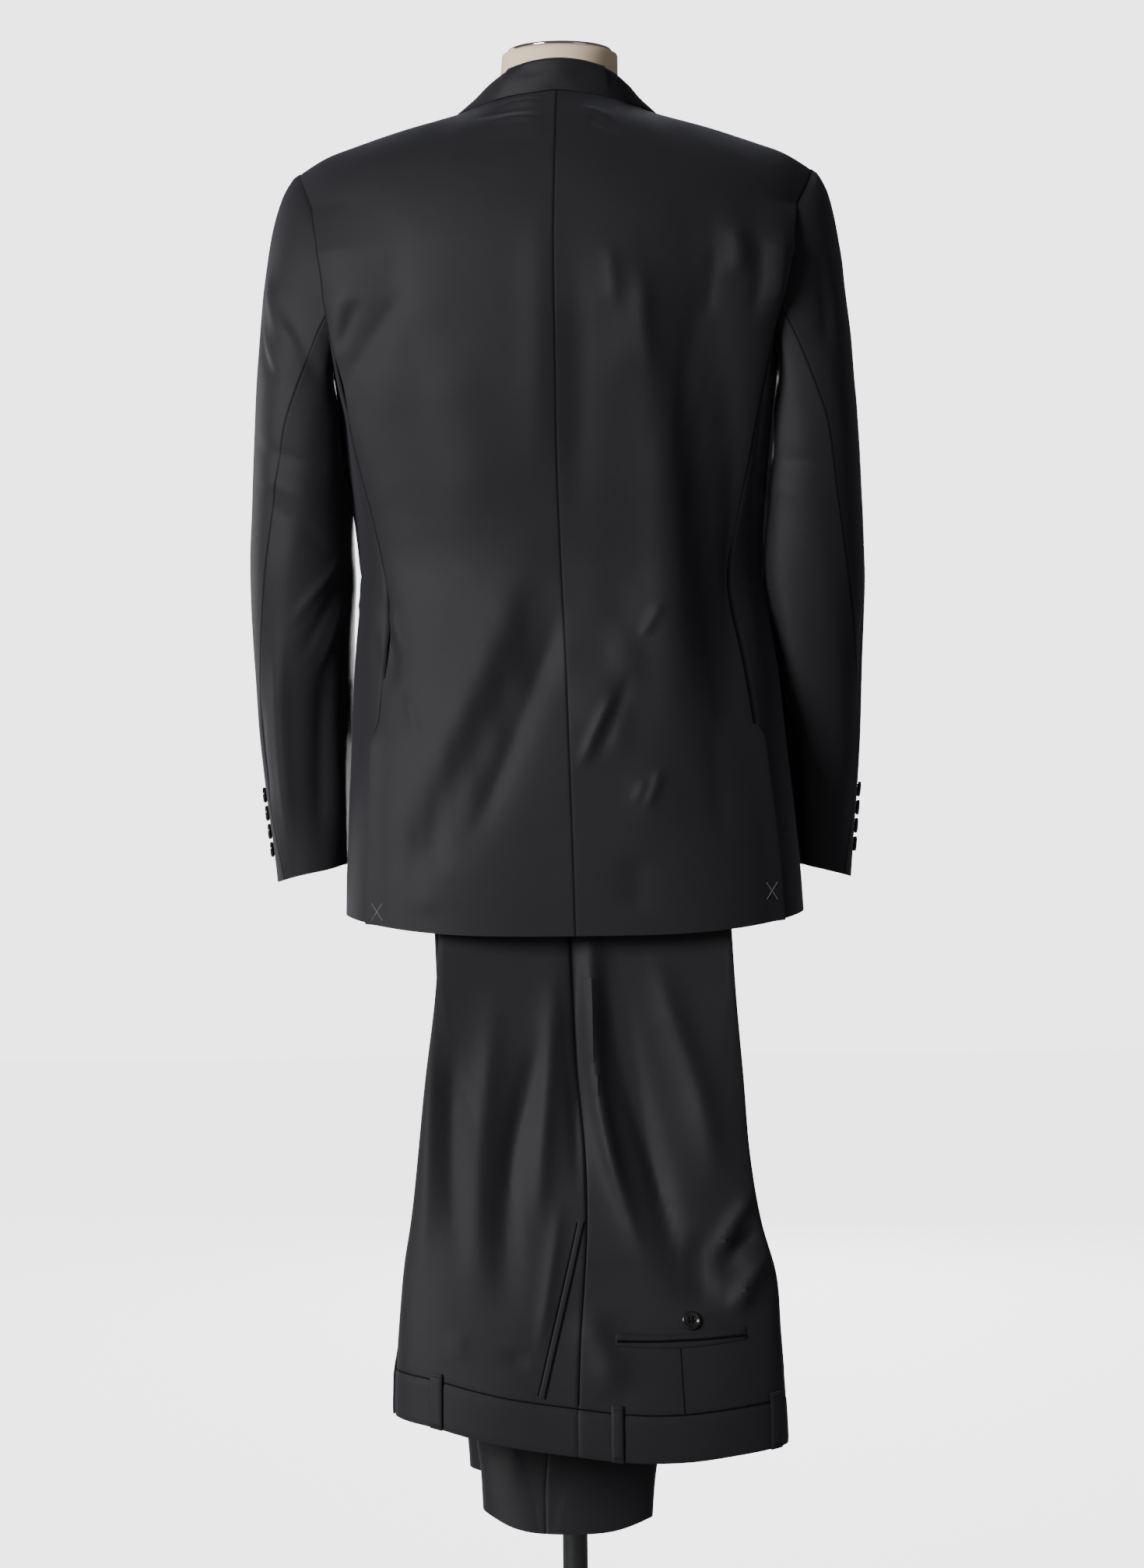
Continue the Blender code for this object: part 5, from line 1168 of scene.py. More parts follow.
NEAR = table(
    "z middle front_edge outseam back_edge spread round",
    (0.348, -0.1680, -0.1530, 0.0040, 0.1845, 0.0465, 0.75),
    (0.386, -0.1635, -0.1520, 0.0040, 0.1830, 0.0440, 0.75),
    (0.440, -0.1555, -0.1490, 0.0060, 0.1800, 0.0370, 0.72),
    (0.495, -0.1465, -0.1450, 0.0100, 0.1765, 0.0285, 0.70),
    (0.535, -0.1395, -0.1400, 0.0125, 0.1660, 0.0215, 0.65),
    (0.600, -0.1300, -0.1335, 0.0120, 0.1560, 0.0115, 0.45),
    (0.660, -0.1225, -0.1275, 0.0070, 0.1520, 0.0065, 0.25),
    (0.740, -0.1165, -0.1175, 0.0030, 0.1460, 0.0035, 0.06),
    (0.803, -0.1148, -0.1130, 0.0010, 0.1425, 0.00285, 0.04),
)
FAR = table(
    "z middle front_edge outseam back_edge centre right_half left_half round left_shift",
    (0.260, -0.0685, -0.0930, -0.0250, 0.0620, 0.0280, 0.0220, 0.0330, 0.90, 0.0125),
    (0.300, -0.0690, -0.0945, -0.0255, 0.0655, 0.0255, 0.0195, 0.0240, 0.80, 0.0120),
    (0.340, -0.0700, -0.0960, -0.0230, 0.0720, 0.0215, 0.0150, 0.0175, 0.60, 0.0100),
    (0.430, -0.0735, -0.1000, -0.0160, 0.0860, 0.0155, 0.0090, 0.0100, 0.30, 0.0040),
    (0.530, -0.0790, -0.1045, -0.0080, 0.1010, 0.0100, 0.0050, 0.0055, 0.15, 0.0000),
    (0.650, -0.0855, -0.1090, -0.0020, 0.1200, 0.0050, 0.0022, 0.0024, 0.06, -0.0040),
    (0.740, -0.0895, -0.1115, 0.0000, 0.1340, 0.0025, 0.0011, 0.0011, 0.04, -0.0055),
    (0.803, -0.09125, -0.1130, 0.0010, 0.1425, 0.00185, 0.0010, 0.0010, 0.04, -0.0060),
)
WAIST_RISE = table(
    "x rise",
    (-0.160, 0.0355), (-0.140, 0.0325), (-0.119, 0.0297), (-0.093, 0.0236), (-0.059, 0.0162),
    (-0.026, 0.0108), (0.008, 0.0061), (0.0385, 0.0020), (0.089, 0.0), (0.143, 0.0040), (0.186, 0.0075),
)
HEM_RISE = table(
    "x rise",
    (-0.105, 0.020), (-0.080, 0.016), (-0.055, 0.006), (0.0, 0.0), (0.035, 0.001), (0.065, 0.008),
)
# The fork seam: the heights where the inner half of each leg narrows away, and how much of it is left there
FORK = {
    "front": ((0.535, 0.565, 0.605), (0.15, 0.5, 1.0)),
    "back": ((0.480, 0.510, 0.535, 0.565, 0.605), (0.12, 0.35, 0.6, 0.8, 1.0)),
}
FORK_END = {"front": (0.510, 0.535), "back": (0.445, 0.480)}
RAISE_TOP_Z, HEM_RAISE_TOP_Z = 0.600, 0.350
# The outseam's painted shadow is wider above the pocket: how much, by height
WIDER_Z, WIDER_BY = (0.520, 0.580, 0.700, 0.800), (0.0, 2.2, 3.0, 1.6)

# %% Rows along a leg
def near_rows(z):
    rows = {name: at(NEAR, name, z) for name in ("front_edge", "outseam", "back_edge", "spread", "round")}
    rows |= {"y": at(NEAR, "middle", z), "z": z, "out_y": -np.ones_like(z), "out_z": np.zeros_like(z)}
    rows["inner"] = np.full_like(z, LEG_CENTRE - LEG_HALF)
    rows["left_shift"] = np.interp(z, (0.388, 0.410), LEFT_SHIFTS)
    for part, heights in FORK_END.items():
        rows[f"{part}_end"] = np.interp(z, heights, (SEAM_GAP / 2, LEG_CENTRE))
        rows[f"{part}_keep"] = np.interp(z, *FORK[part])
    return rows


def bar_rows(turns):
    rows = near_rows(np.full_like(turns, BAR_Z))
    rows["out_y"], rows["out_z"] = -np.cos(turns), np.sin(turns)
    rows["left_shift"] = np.interp(turns, (0, math.pi), (LEFT_SHIFTS[1], FAR["left_shift"][-1]))
    rows["y"] = BAR_Y + STACK_RADIUS * rows["out_y"]
    rows["z"] = BAR_Z + STACK_RADIUS * rows["out_z"]
    return rows


def far_rows(z, side):
    rows = {name: at(FAR, name, z) for name in ("front_edge", "outseam", "back_edge", "round", "left_shift")}
    centre = at(FAR, "centre", z)
    half = at(FAR, "right_half" if side == RIGHT else "left_half", z)
    rows |= {"y": at(FAR, "middle", z), "z": z, "out_y": np.ones_like(z), "out_z": np.zeros_like(z)}
    rows |= {"spread": centre + half, "inner": centre - half}
    for part in FORK:
        rows[f"{part}_end"], rows[f"{part}_keep"] = centre, np.ones_like(z)
    return rows


def raised(x, z, out_y):
    """How far the cloth is raised by the slant of the waist or of the hems."""
    waist = smooth((RAISE_TOP_Z - z) / (RAISE_TOP_Z - WAIST_SEAM_Z)) * at(WAIST_RISE, "rise", x)
    hem = smooth((HEM_RAISE_TOP_Z - z) / (HEM_RAISE_TOP_Z - HEM_Z[RIGHT])) * at(HEM_RISE, "rise", x)
    return np.where(out_y == -1, waist, np.where(out_y == 1, hem, 0.0))


def leg_creases(side, x, z, out_y):
    """How far a leg's folds move its outer half out: near and far stretches have their own."""
    near, far = (TROUSER_CREASES, FAR_CREASES) if side == RIGHT else (INNER_LEG_CREASES, HEM_CREASES)
    depth = smooth(-out_y) * fold_depth(near, x, z) + smooth(out_y) * fold_depth(far, x, z)
    places = np.stack(np.broadcast_arrays(x, 0.3 * side + 0.2 * out_y, z), axis=-1)
    return depth + waviness(places, 0.06, 0.9 * MM, 1.0) + waviness(places, 0.022, 0.15 * MM, 4.0)


def leg_seam_dip_and_shade(rows, along, wide=False):
    """How deep in the outseam or the waist seam a point is, from 0 to 1; it also sets the painted seam shade.

    wide: whether the outseam's painted shadow is wider above the pocket."""
    width = SEAM_WIDTH * (1 + wide * np.interp(rows["z"], WIDER_Z, WIDER_BY))
    waist = np.where(rows["out_y"] == -1, np.exp(-(((rows["z"] - WAIST_SEAM_Z) / SEAM_WIDTH) ** 2)), 0.0)
    return np.maximum(np.exp(-((along / width) ** 2)), waist)


def leg_width(rows, side, front):
    """How wide a leg is from its outseam to its front or back crease, and how much of that is rounded."""
    shift = rows["left_shift"] if side == LEFT else 0.0
    edge = np.where(front, rows["front_edge"] + shift, rows["back_edge"] + shift / 2)
    width = np.abs(edge - rows["outseam"])
    return width, np.maximum(width * rows["round"], 2 * LEG_HALF)


def leg_points(rows, side, part, crease, share, inner_half, face, wall):
    """Points of a leg. `face` is 1 for the cloth's outside and -1 for its inside."""
    proud = face * wall / 2
    direction = -1 if part == "front" else 1
    width, rounding = leg_width(rows, side, part == "front")
    turn = share * math.pi / 2
    along = np.where(crease, width - rounding + (rounding + proud) * np.sin(turn), (width - rounding) * share)
    lift = np.where(crease, np.cos(turn), 1.0)
    seam = leg_seam_dip_and_shade(rows, along) * SEAM_SINK
    x = rows["outseam"] + direction * (along - np.where(along == 0, SEAM_GAP / 2, 0.0))
    folds = leg_creases(side, x, rows["z"] + raised(x, rows["z"], rows["out_y"]), rows["out_y"]) - seam
    deepest = rows["inner"] - rows["spread"] + 1.2 * wall
    folds = (deepest + MM * np.logaddexp(0, (folds - deepest) / MM)) * smooth(2 * lift)
    end = rows[f"{part}_end"]
    outer_height = end + (rows["spread"] - end + proud) * lift + folds
    inner_height = end - (end - rows["inner"] + proud) * lift
    height = np.where(inner_half, inner_height, outer_height)
    narrowed = width + (along - width) * rows[f"{part}_keep"]
    x = np.where(inner_half, rows["outseam"] + direction * narrowed, x)
    y = rows["y"] + side * height * rows["out_y"]
    z = rows["z"] + side * height * rows["out_z"] + raised(x, rows["z"], rows["out_y"])
    return np.stack([x, y, z], axis=-1)

# %% Folds of the left leg's near stretch and of both far ones, at (x, z) in mm
INNER_LEG_CREASES = (
    ("trough at the outseam", 8, -1.8, (6, 780), (4, 690), (12, 600)),
    ("ridge beside it", 9, 1.9, (24, 760), (30, 660), (36, 560)),
    ("seat drag", 11, -2.2, (60, 700), (88, 600), (118, 500)),
    ("seat ridge", 9, 2.4, (128, 590), (146, 535), (150, 480)),
    ("thigh trough", 12, -2.0, (-60, 620), (-70, 520), (-52, 430)),
    ("thigh ridge", 10, 1.8, (-36, 640), (-40, 560), (-30, 470)),
)
FAR_CREASES = (
    ("shin trough", 11, -1.8, (10, 760), (26, 640), (16, 520)),
    ("shin ridge", 10, 1.9, (40, 740), (50, 620), (38, 500)),
    ("calf drag", 9, -1.5, (-60, 700), (-50, 590), (-58, 470)),
    ("calf ridge", 8, 1.4, (-36, 560), (-46, 480), (-52, 400)),
    ("knee crush", 7, -1.3, (70, 690), (94, 660), (120, 668)),
    ("hem ripple", 9, 1.2, (30, 440), (34, 370), (28, 310)),
)
HEM_CREASES = (
    ("hem ripple", 9, -1.3, (30, 420), (26, 350), (30, 290)),
    ("hem ripple, second", 8, 1.3, (-50, 430), (-56, 350), (-52, 290)),
    ("shin drag", 11, -1.6, (60, 700), (46, 560), (50, 450)),
)

# %% Leg panels
NEAR_CELL, HIDDEN_CELL = 2.6 * MM, 6.0 * MM
FLAT_STEPS, CREASE_STEPS, INNER_STEPS = 32, 22, 5
# The left leg, which the right one hides, has this share of the steps
HIDDEN_SHARE = 0.6
# Rows run up to here, then round the bar, then down the far stretch in longer steps
STRAIGHT_TOP_Z, BEND_ROWS, FAR_COARSER = 0.797, 14, 1.4
# About how far it is from the outseam to a crease
CREASE_AWAY = 0.14


def leg_columns(flat, crease, inner):
    """Steps across a panel: flat cloth, round the crease and back along the inner half."""
    steps = [(False, step / flat, False) for step in range(flat)]
    steps += [(False, 0.005, False), (False, 0.011, False), (False, 0.022, False)]
    steps = sorted(steps, key=lambda step: step[1])
    steps += [(True, step / crease, False) for step in range(crease + 1)]
    steps += [(True, 1 - step / inner, True) for step in range(1, inner + 1)]
    steps += [(False, 1 - step / 3, True) for step in range(1, 4)]
    return [np.array(column)[None, :] for column in zip(*steps)]


def leg_rows(side, cell):
    heights = np.linspace(WAIST_SEAM_Z, STRAIGHT_TOP_Z, round((STRAIGHT_TOP_Z - WAIST_SEAM_Z) / cell))
    near = near_rows(np.concatenate([heights[:1], WAIST_SEAM_Z + SEAM_STEPS[:3], heights[1:]]))
    bend = bar_rows(np.linspace(0, math.pi, BEND_ROWS))
    count = round((STRAIGHT_TOP_Z - HEM_Z[side]) / (FAR_COARSER * cell))
    far = far_rows(np.linspace(STRAIGHT_TOP_Z, HEM_Z[side], count), side)
    return {name: np.concatenate([near[name], bend[name], far[name]])[:, None] for name in near}


def leg_panel(side, part):
    rows = leg_rows(side, NEAR_CELL if side == RIGHT else HIDDEN_CELL)
    share = 1.0 if side == RIGHT else HIDDEN_SHARE
    columns = leg_columns(round(FLAT_STEPS * share), round(CREASE_STEPS * share), INNER_STEPS)
    outer, inner = (leg_points(rows, side, part, *columns, face, TROUSER_WALL) for face in (1, -1))
    crease, off, inner_half = columns
    first_inner = int(np.argmax(inner_half[0])) - 1
    keep = np.ones((outer.shape[0] - 1, outer.shape[1] - 1), bool)
    low_rows = (rows["out_y"][:-1, 0] == -1) & (rows["z"][:-1, 0] < FORK[part][0][0])
    keep[low_rows, first_inner:] = False
    along = np.where(crease, 1.0, off) * CREASE_AWAY
    # Seam depth for the wool's painted seam shade, with a wider painted shadow beside the right front's
    # outseam
    groove = np.where(inner_half, 0.0, leg_seam_dip_and_shade(rows, along, (side, part) == (RIGHT, "front")))
    name = f"trouser_{part}_{WORDS[side]}"
    add_sheet(name, outer, TROUSER_WALL, FOLDED, keep=keep, inner=inner, middle=first_inner, groove=groove)


for side in (RIGHT, LEFT):
    for part in ("front", "back"):
        leg_panel(side, part)

# %% [markdown]
# ## Waistband, pockets, fly and belt loops
# The waistband is a doubled strip, so it is thicker than the panels and its lower edge is a fold. The
# pocket edges, welts and the fly are strips laid on the cloth. Each follows the same surface as the leg
# below it, folds and all, and its long edges roll down so that it looks turned in, not cut out of card.

# %% The near stretch as a surface
def near_surface(side, x, z):
    """The outside of the near stretch at places (x, z), z before the waist's slant."""
    x, z = np.broadcast_arrays(np.asarray(x, float), np.asarray(z, float))
    rows = near_rows(z)
    front = x < rows["outseam"]
    end = np.where(front, rows["front_end"], rows["back_end"])
    width, rounding = leg_width(rows, side, front)
    past = np.clip((np.abs(x - rows["outseam"]) - (width - rounding)) / (rounding + TROUSER_WALL / 2), 0, 1)
    lift = np.sqrt(1 - past**2)
    high = z + raised(x, z, -1)
    folds = leg_creases(side, x, high, -np.ones_like(x)) * smooth(2 * lift)
    height = end + (rows["spread"] - end + TROUSER_WALL / 2) * lift + folds
    return np.stack([x, rows["y"] - side * height, high], axis=-1)


def near_normal(side, x, z):
    across = near_surface(side, x + MM, z) - near_surface(side, x - MM, z)
    up = near_surface(side, x, z + MM) - near_surface(side, x, z - MM)
    return unit(np.cross(across, up)) * side

# %% Laid strips
STRIP_WALL, LAID_GAP = 1.2 * MM, 0.4 * MM
EDGE_ROLL = 0.8 * MM


def strip_places(start, end, half_width, bow=0.0, along=40, across=9):
    """(x, z) places of a straight strip, with a slight bow, as two grids."""
    start, end = np.array(start), np.array(end)
    toward = unit(end - start)
    sideways = np.array([-toward[1], toward[0]])
    share = np.linspace(0, 1, along)[:, None, None]
    off = np.linspace(-half_width, half_width, across)[None, :, None] + bow * np.sin(math.pi * share)
    places = start + share * (end - start) + off * sideways
    return places[..., 0], places[..., 1]


def rolled(shape):
    """How far a strip's middle stands above its edges and ends, from 0 there to 1."""
    run, over = np.linspace(-1, 1, shape[0])[:, None], np.linspace(-1, 1, shape[1])[None, :]
    return np.sqrt(np.clip(1 - np.abs(over) ** 4, 0, 1)) * np.sqrt(np.clip(1 - np.abs(run) ** 24, 0, 1))


def laid_strip(name, side, x, z, lift=0.0):
    under, normal = near_surface(side, x, z), near_normal(side, x, z)
    profile = rolled(x.shape)
    outer = under + (LAID_GAP + lift + STRIP_WALL - EDGE_ROLL * (1 - profile))[..., None] * normal
    inner = under + (LAID_GAP + lift * profile)[..., None] * normal
    add_sheet(name, outer, STRIP_WALL, FOLDED, inside=0, inner=inner)


# The waistband laps a little over the edge of the panels
BAND_TOP_Z = WAIST_SEAM_Z + 1.2 * MM


def waistband(side):
    """Half of the waistband, from its seam down to the waist's folded edge."""
    z = np.linspace(WAIST_Z, BAND_TOP_Z, 18)
    rows = {name: values[:, None] for name, values in near_rows(z).items()}
    halves = {1: [], -1: []}
    for part in ("front", "back"):
        crease, share, inner_half = leg_columns(16, 16, INNER_STEPS)
        outer_half = ~inner_half[0]
        columns = crease[:, outer_half], share[:, outer_half], inner_half[:, outer_half]
        for face, grids in halves.items():
            grid = leg_points(rows, side, part, *columns, face, BAND_WALL)
            grids.append(grid[:, ::-1] if part == "front" else grid[:, 1:])
    outer, inner = (np.concatenate(halves[face], axis=1) for face in (1, -1))
    share = ((z - WAIST_Z) / (WAIST_SEAM_Z - WAIST_Z))[:, None, None]
    middle = (outer + inner) / 2
    edge = 1 - 0.5 * np.exp(-share * 14) - 0.45 * np.exp((share - 1) * 20)
    add_sheet(
        f"waistband_{WORDS[side]}", middle + (outer - middle) * edge, BAND_WALL, FOLDED, inside=0,
        inner=middle + (inner - middle) * edge, middle=outer.shape[1] // 2,
    )


POCKET_EDGE = ((0.0085, 0.545), (-0.0270, 0.392))
WELT = ((0.0365, 0.448), (0.1480, 0.448))
FLY = ((-0.1355, 0.398), (-0.1290, 0.505))
LOOP_PLACES = (-0.1165, 0.0370, 0.1730)
LOOP_LOW, LOOP_HIGH, LOOP_HALF = 0.3475, 0.394, 5 * MM
# How far a loop stands off the band at its ends, and how much more between them
LOOP_OFF, LOOP_ARCH, LOOP_THICK = 0.9 * MM, 0.8 * MM, 1.5 * MM


def belt_loop(side, number, x):
    """A narrow strip sewn down at both ends, which stands a little off the waistband between them."""
    heights = np.linspace(LOOP_LOW, LOOP_HIGH, 26)[:, None]
    over = np.linspace(x - LOOP_HALF, x + LOOP_HALF, 9)[None, :]
    places = over + 0 * heights, np.maximum(heights, WAIST_Z) + 0 * over
    drop = np.minimum(0.0, heights - WAIST_Z)[..., None] * np.array([0, 0, 1])
    under, normal = near_surface(side, *places) + drop, near_normal(side, *places)
    proud = LOOP_OFF + LOOP_ARCH * np.sin(math.pi * np.linspace(0, 1, 26))[:, None] ** 0.5
    profile = rolled(places[0].shape)
    outer = under + (proud + LOOP_THICK - EDGE_ROLL * (1 - profile))[..., None] * normal
    inner = under + proud[..., None] * normal
    add_sheet(f"belt_loop_{WORDS[side]}_{number}", outer, LOOP_THICK, FOLDED, inside=0, inner=inner)


for side, word in WORDS.items():
    waistband(side)
    laid_strip(f"side_pocket_{word}", side, *strip_places(*POCKET_EDGE, 2.5 * MM), lift=0.5 * MM)
    laid_strip(f"back_welt_{word}", side, *strip_places(*WELT, 5.5 * MM, -1.2 * MM, across=11))
    for number, place in enumerate(LOOP_PLACES, 1):
        belt_loop(side, number, place)
laid_strip("fly", LEFT, *strip_places(*FLY, 12 * MM, across=11))

# %% [markdown]
# ## Sunk seam lines of painted shadow
# Where two edges are sewn into a fold, the thread and the shadow make one thin dark line: along the waist
# seam and the outseam, along the back welts, in the mouth of the pockets, in the dart under the back pocket.
# A near-black cord half sunk in the cloth makes each line, so each is thread and painted shadow in one.
# Beside one edge of each right belt loop, the cord is only the loop's painted shadow.

# %% Sunk lines
BAND_SEAM = (-0.1500, BAND_TOP_Z), (0.1780, BAND_TOP_Z)
POCKET_MOUTH = (0.0050, 0.5440), (-0.0125, 0.4700), (-0.0300, 0.3930)
OUTSEAM = [(at(NEAR, "outseam", z), z) for z in np.arange(0.390, 0.800, 0.02)]
# Beside one edge of each belt loop: a cord that is only the loop's painted shadow
LOOP_SHADOW_LINES = [[(x + LOOP_HALF + 0.4 * MM, z) for z in (0.392, 0.350)] for x in LOOP_PLACES]
# slot, side, half thickness in mm, and (x, z) places
THREAD_AND_SHADOW_LINES = (
    ("waistband_right", RIGHT, 0.45, *BAND_SEAM),
    ("back_welt_right", RIGHT, 1.25, (0.0375, 0.4462), (0.0920, 0.4474), (0.1470, 0.4462)),
    ("trouser_back_right", RIGHT, 0.55, (0.0920, 0.4405), (0.0945, WAIST_SEAM_Z + 2 * MM)),
    ("trouser_front_right", RIGHT, 0.60, *OUTSEAM),
    ("side_pocket_right", RIGHT, 1.00, *POCKET_MOUTH),
    *((f"belt_loop_right_{number}", RIGHT, 0.50, *edge) for number, edge in enumerate(LOOP_SHADOW_LINES, 1)),
    ("waistband_left", LEFT, 0.45, *BAND_SEAM),
    ("back_welt_left", LEFT, 0.70, (0.0380, 0.4462), (0.0920, 0.4474), (0.1465, 0.4462)),
    ("side_pocket_left", LEFT, 0.70, *POCKET_MOUTH),
)
# How far each kind of piece stands off the panels
PROUD_ON = {"back_welt": STRIP_WALL + LAID_GAP, "waistband": 0.5 * MM, "belt_loop": LOOP_OFF}


def sunk_thread_and_shadow(slot, side, half, *places):
    # A near-black cord along the seam: its thread and its painted shadow
    x, z = spread_along(places).T
    proud = next((value for start, value in PROUD_ON.items() if slot.startswith(start)), 0.0)
    path = near_surface(side, x, z) + proud * near_normal(side, x, z)
    name = f"{slot}_line"
    add_piece(name, tube(name, path, half * MM, dark_thread), slot=slot)

# %% [markdown]
# ## The dress form, its ring, pole, base and bar
# The form is a padded shell covered in linen. Its rings of points are read from the solid and made finer,
# because the neck shows against the background and must be round. The chrome ring, pole and base are turned
# parts, so each is a profile spun round an axis.

# %% Closed shapes from rings
def ring_mesh(name, rings, material, sharp=40):
    """A closed mesh from rings of points, each counter-clockwise about the way they follow each other."""
    rows, columns = rings.shape[:2]
    index = np.arange(rows * columns).reshape(rows, columns)
    following = np.roll(index, -1, axis=1)
    sides = np.stack([index[:-1], following[:-1], following[1:], index[1:]], axis=-1).reshape(-1, 4)
    mesh = bpy.data.meshes.new(name)
    ends = [index[0][::-1].tolist(), index[-1].tolist()]
    mesh.from_pydata(rings.reshape(-1, 3).tolist(), [], sides.tolist() + ends)
    widest = np.linalg.norm(rings - np.roll(rings, -1, axis=1), axis=-1).mean(axis=1)[-3:].max()
    run = np.linalg.norm(np.diff(rings, axis=0), axis=-1).mean(axis=1).cumsum()
    run = np.concatenate([[0.0], run])
    over = np.tile(np.arange(columns), rows - 1) * widest
    low, high = np.repeat(run[:-1], columns), np.repeat(run[1:], columns)
    spread = np.stack([over, low, over + widest, low, over + widest, high, over, high], axis=-1).ravel()
    layer = mesh.uv_layers.new(name="cloth")
    layer.data.foreach_set("uv", np.concatenate([spread, np.zeros(4 * columns)]).astype(np.float32))
    mesh.materials.append(material)
    mesh.shade_smooth()
    mesh.set_sharp_from_angle(angle=math.radians(sharp))
    return mesh


def circle(sides, across, third):
    """Places round a circle of radius 1, in the plane of two directions."""
    turns = np.arange(sides) * 2 * math.pi / sides
    return np.cos(turns)[:, None] * across + np.sin(turns)[:, None] * third


def spun(name, profile, place, axis, sides, material):
    """A turned part from a profile of (radius, height) pairs, from its underside up and over."""
    axis = unit(np.array(axis, float))
    across = unit(np.cross([0, 1, 0] if abs(axis[1]) < 0.9 else [1, 0, 0], axis))
    ring = circle(sides, across, np.cross(axis, across))
    radii, heights = np.array(profile).T
    rings = np.array(place) + radii[:, None, None] * ring + heights[:, None, None] * axis
    return ring_mesh(name, rings, material)


def tube(name, path, radius, material):
    """A six-sided cord along a path, its ends closed."""
    path = np.array(path, float)
    along = unit(np.gradient(path, axis=0))
    across = unit(np.cross(along[0], [0.31, 0.17, 0.93]))
    rings = []
    for place, toward in zip(path, along):
        across = unit(across - np.dot(across, toward) * toward)
        rings.append(place + radius * circle(6, across, -np.cross(across, toward)))
    return ring_mesh(name, np.array(rings), material)


for line in THREAD_AND_SHADOW_LINES:
    sunk_thread_and_shadow(*line)

# %% Linen form
FORM_SIDES = 28
NECK_BEND = ((0.0535, 1.5930), (0.0528, 1.5950), (0.0510, 1.5960))
# The neck's top and its ring lean back by this slope
NECK_LEAN = math.tan(math.radians(3.6))


def solid_points(name):
    """Every corner of a solid."""
    made = welded(name)
    points = np.array([corner.co for corner in made.verts])
    made.free()
    return points


def form_rings():
    """The solid form's rings of points, from low to high."""
    points = solid_points("form_bust")
    points = points[np.hypot(points[:, 0], points[:, 1]) > 0.03]
    rings = []
    for height in np.unique(np.round(points[:, 2], 4)):
        ring = points[np.abs(points[:, 2] - height) < 0.2 * MM]
        if len(ring) == FORM_SIDES:
            rings.append(ring[np.argsort(np.arctan2(ring[:, 1], ring[:, 0]))])
    return np.array(rings)


rings = form_rings()[:-1]
wrapped = np.concatenate([rings[:, -3:], rings, rings[:, :3]], axis=1)
around = np.arange(3, 3 + FORM_SIDES, 1 / 5)
wrapped = curved(wrapped.swapaxes(0, 1), around).swapaxes(0, 1)
neck_from = len(rings) - 5
levels = np.concatenate([np.arange(0, neck_from, 0.5), np.arange(neck_from, neck_from + 4 + 1e-9, 0.2)])
linen_rings = curved(wrapped, levels)
turn = np.arctan2(linen_rings[-1, :, 1], linen_rings[-1, :, 0])
bend = [
    np.stack([radius * np.cos(turn), radius * np.sin(turn), np.full_like(turn, high)], axis=-1)
    for radius, high in NECK_BEND
]
linen_rings = np.concatenate([linen_rings, np.array(bend)])
linen_rings[..., 2] += NECK_LEAN * linen_rings[..., 1] * smooth((linen_rings[..., 2] - 1.56) / 0.03)
add_piece("linen_form", ring_mesh("linen_form", linen_rings, linen, 60), "form_bust")
print("form rings:", linen_rings.shape)

# %% Ring, pole, base and bar
RING_PLACE = (0, 0, 1.5963)
RING_PROFILE = (
    (0.0460, 0.0000), (0.0470, 0.0003), (0.0477, 0.0010), (0.0480, 0.0019), (0.0478, 0.0028),
    (0.0471, 0.0035), (0.0460, 0.0039), (0.0440, 0.0041), (0.0400, 0.0042), (0.0380, 0.0040),
    (0.0370, 0.0034), (0.0365, 0.0030), (0.0100, 0.0030),
)
POLE_PROFILE = ((0.0115, 0.0), (0.0115, 0.8624))
BASE_PROFILE = (
    (0.1635, 0.0), (0.1648, 0.0006), (0.1650, 0.0020), (0.1650, 0.0068), (0.1642, 0.0092), (0.1620, 0.0108),
    (0.1580, 0.0117), (0.1530, 0.0120), (0.0300, 0.0120),
)
BAR_REAR_Y, BAR_REAR_Z, BAR_BEND, BAR_SIDES = -0.0198, 0.845, 0.018, 16
BAR_CORNERS = (
    (-0.144, BAR_Y, BAR_Z), (0.165, BAR_Y, BAR_Z),
    (0.165, BAR_REAR_Y, BAR_REAR_Z), (-0.144, BAR_REAR_Y, BAR_REAR_Z),
)

# name, solid, profile, place, axis, sides and finish
TURNED = (
    ("chrome_ring", "neck_ring", RING_PROFILE, RING_PLACE, (0, -NECK_LEAN, 1), 128, chrome),
    ("round_pole", "pole", POLE_PROFILE, (0, 0, 0.0123), (0, 0, 1), 64, black_paint),
    ("round_base", "base_plate", BASE_PROFILE, (0, 0, 0), (0, 0, 1), 160, black_paint),
)
for name, solid, *shape in TURNED:
    add_piece(name, spun(name, *shape), solid)


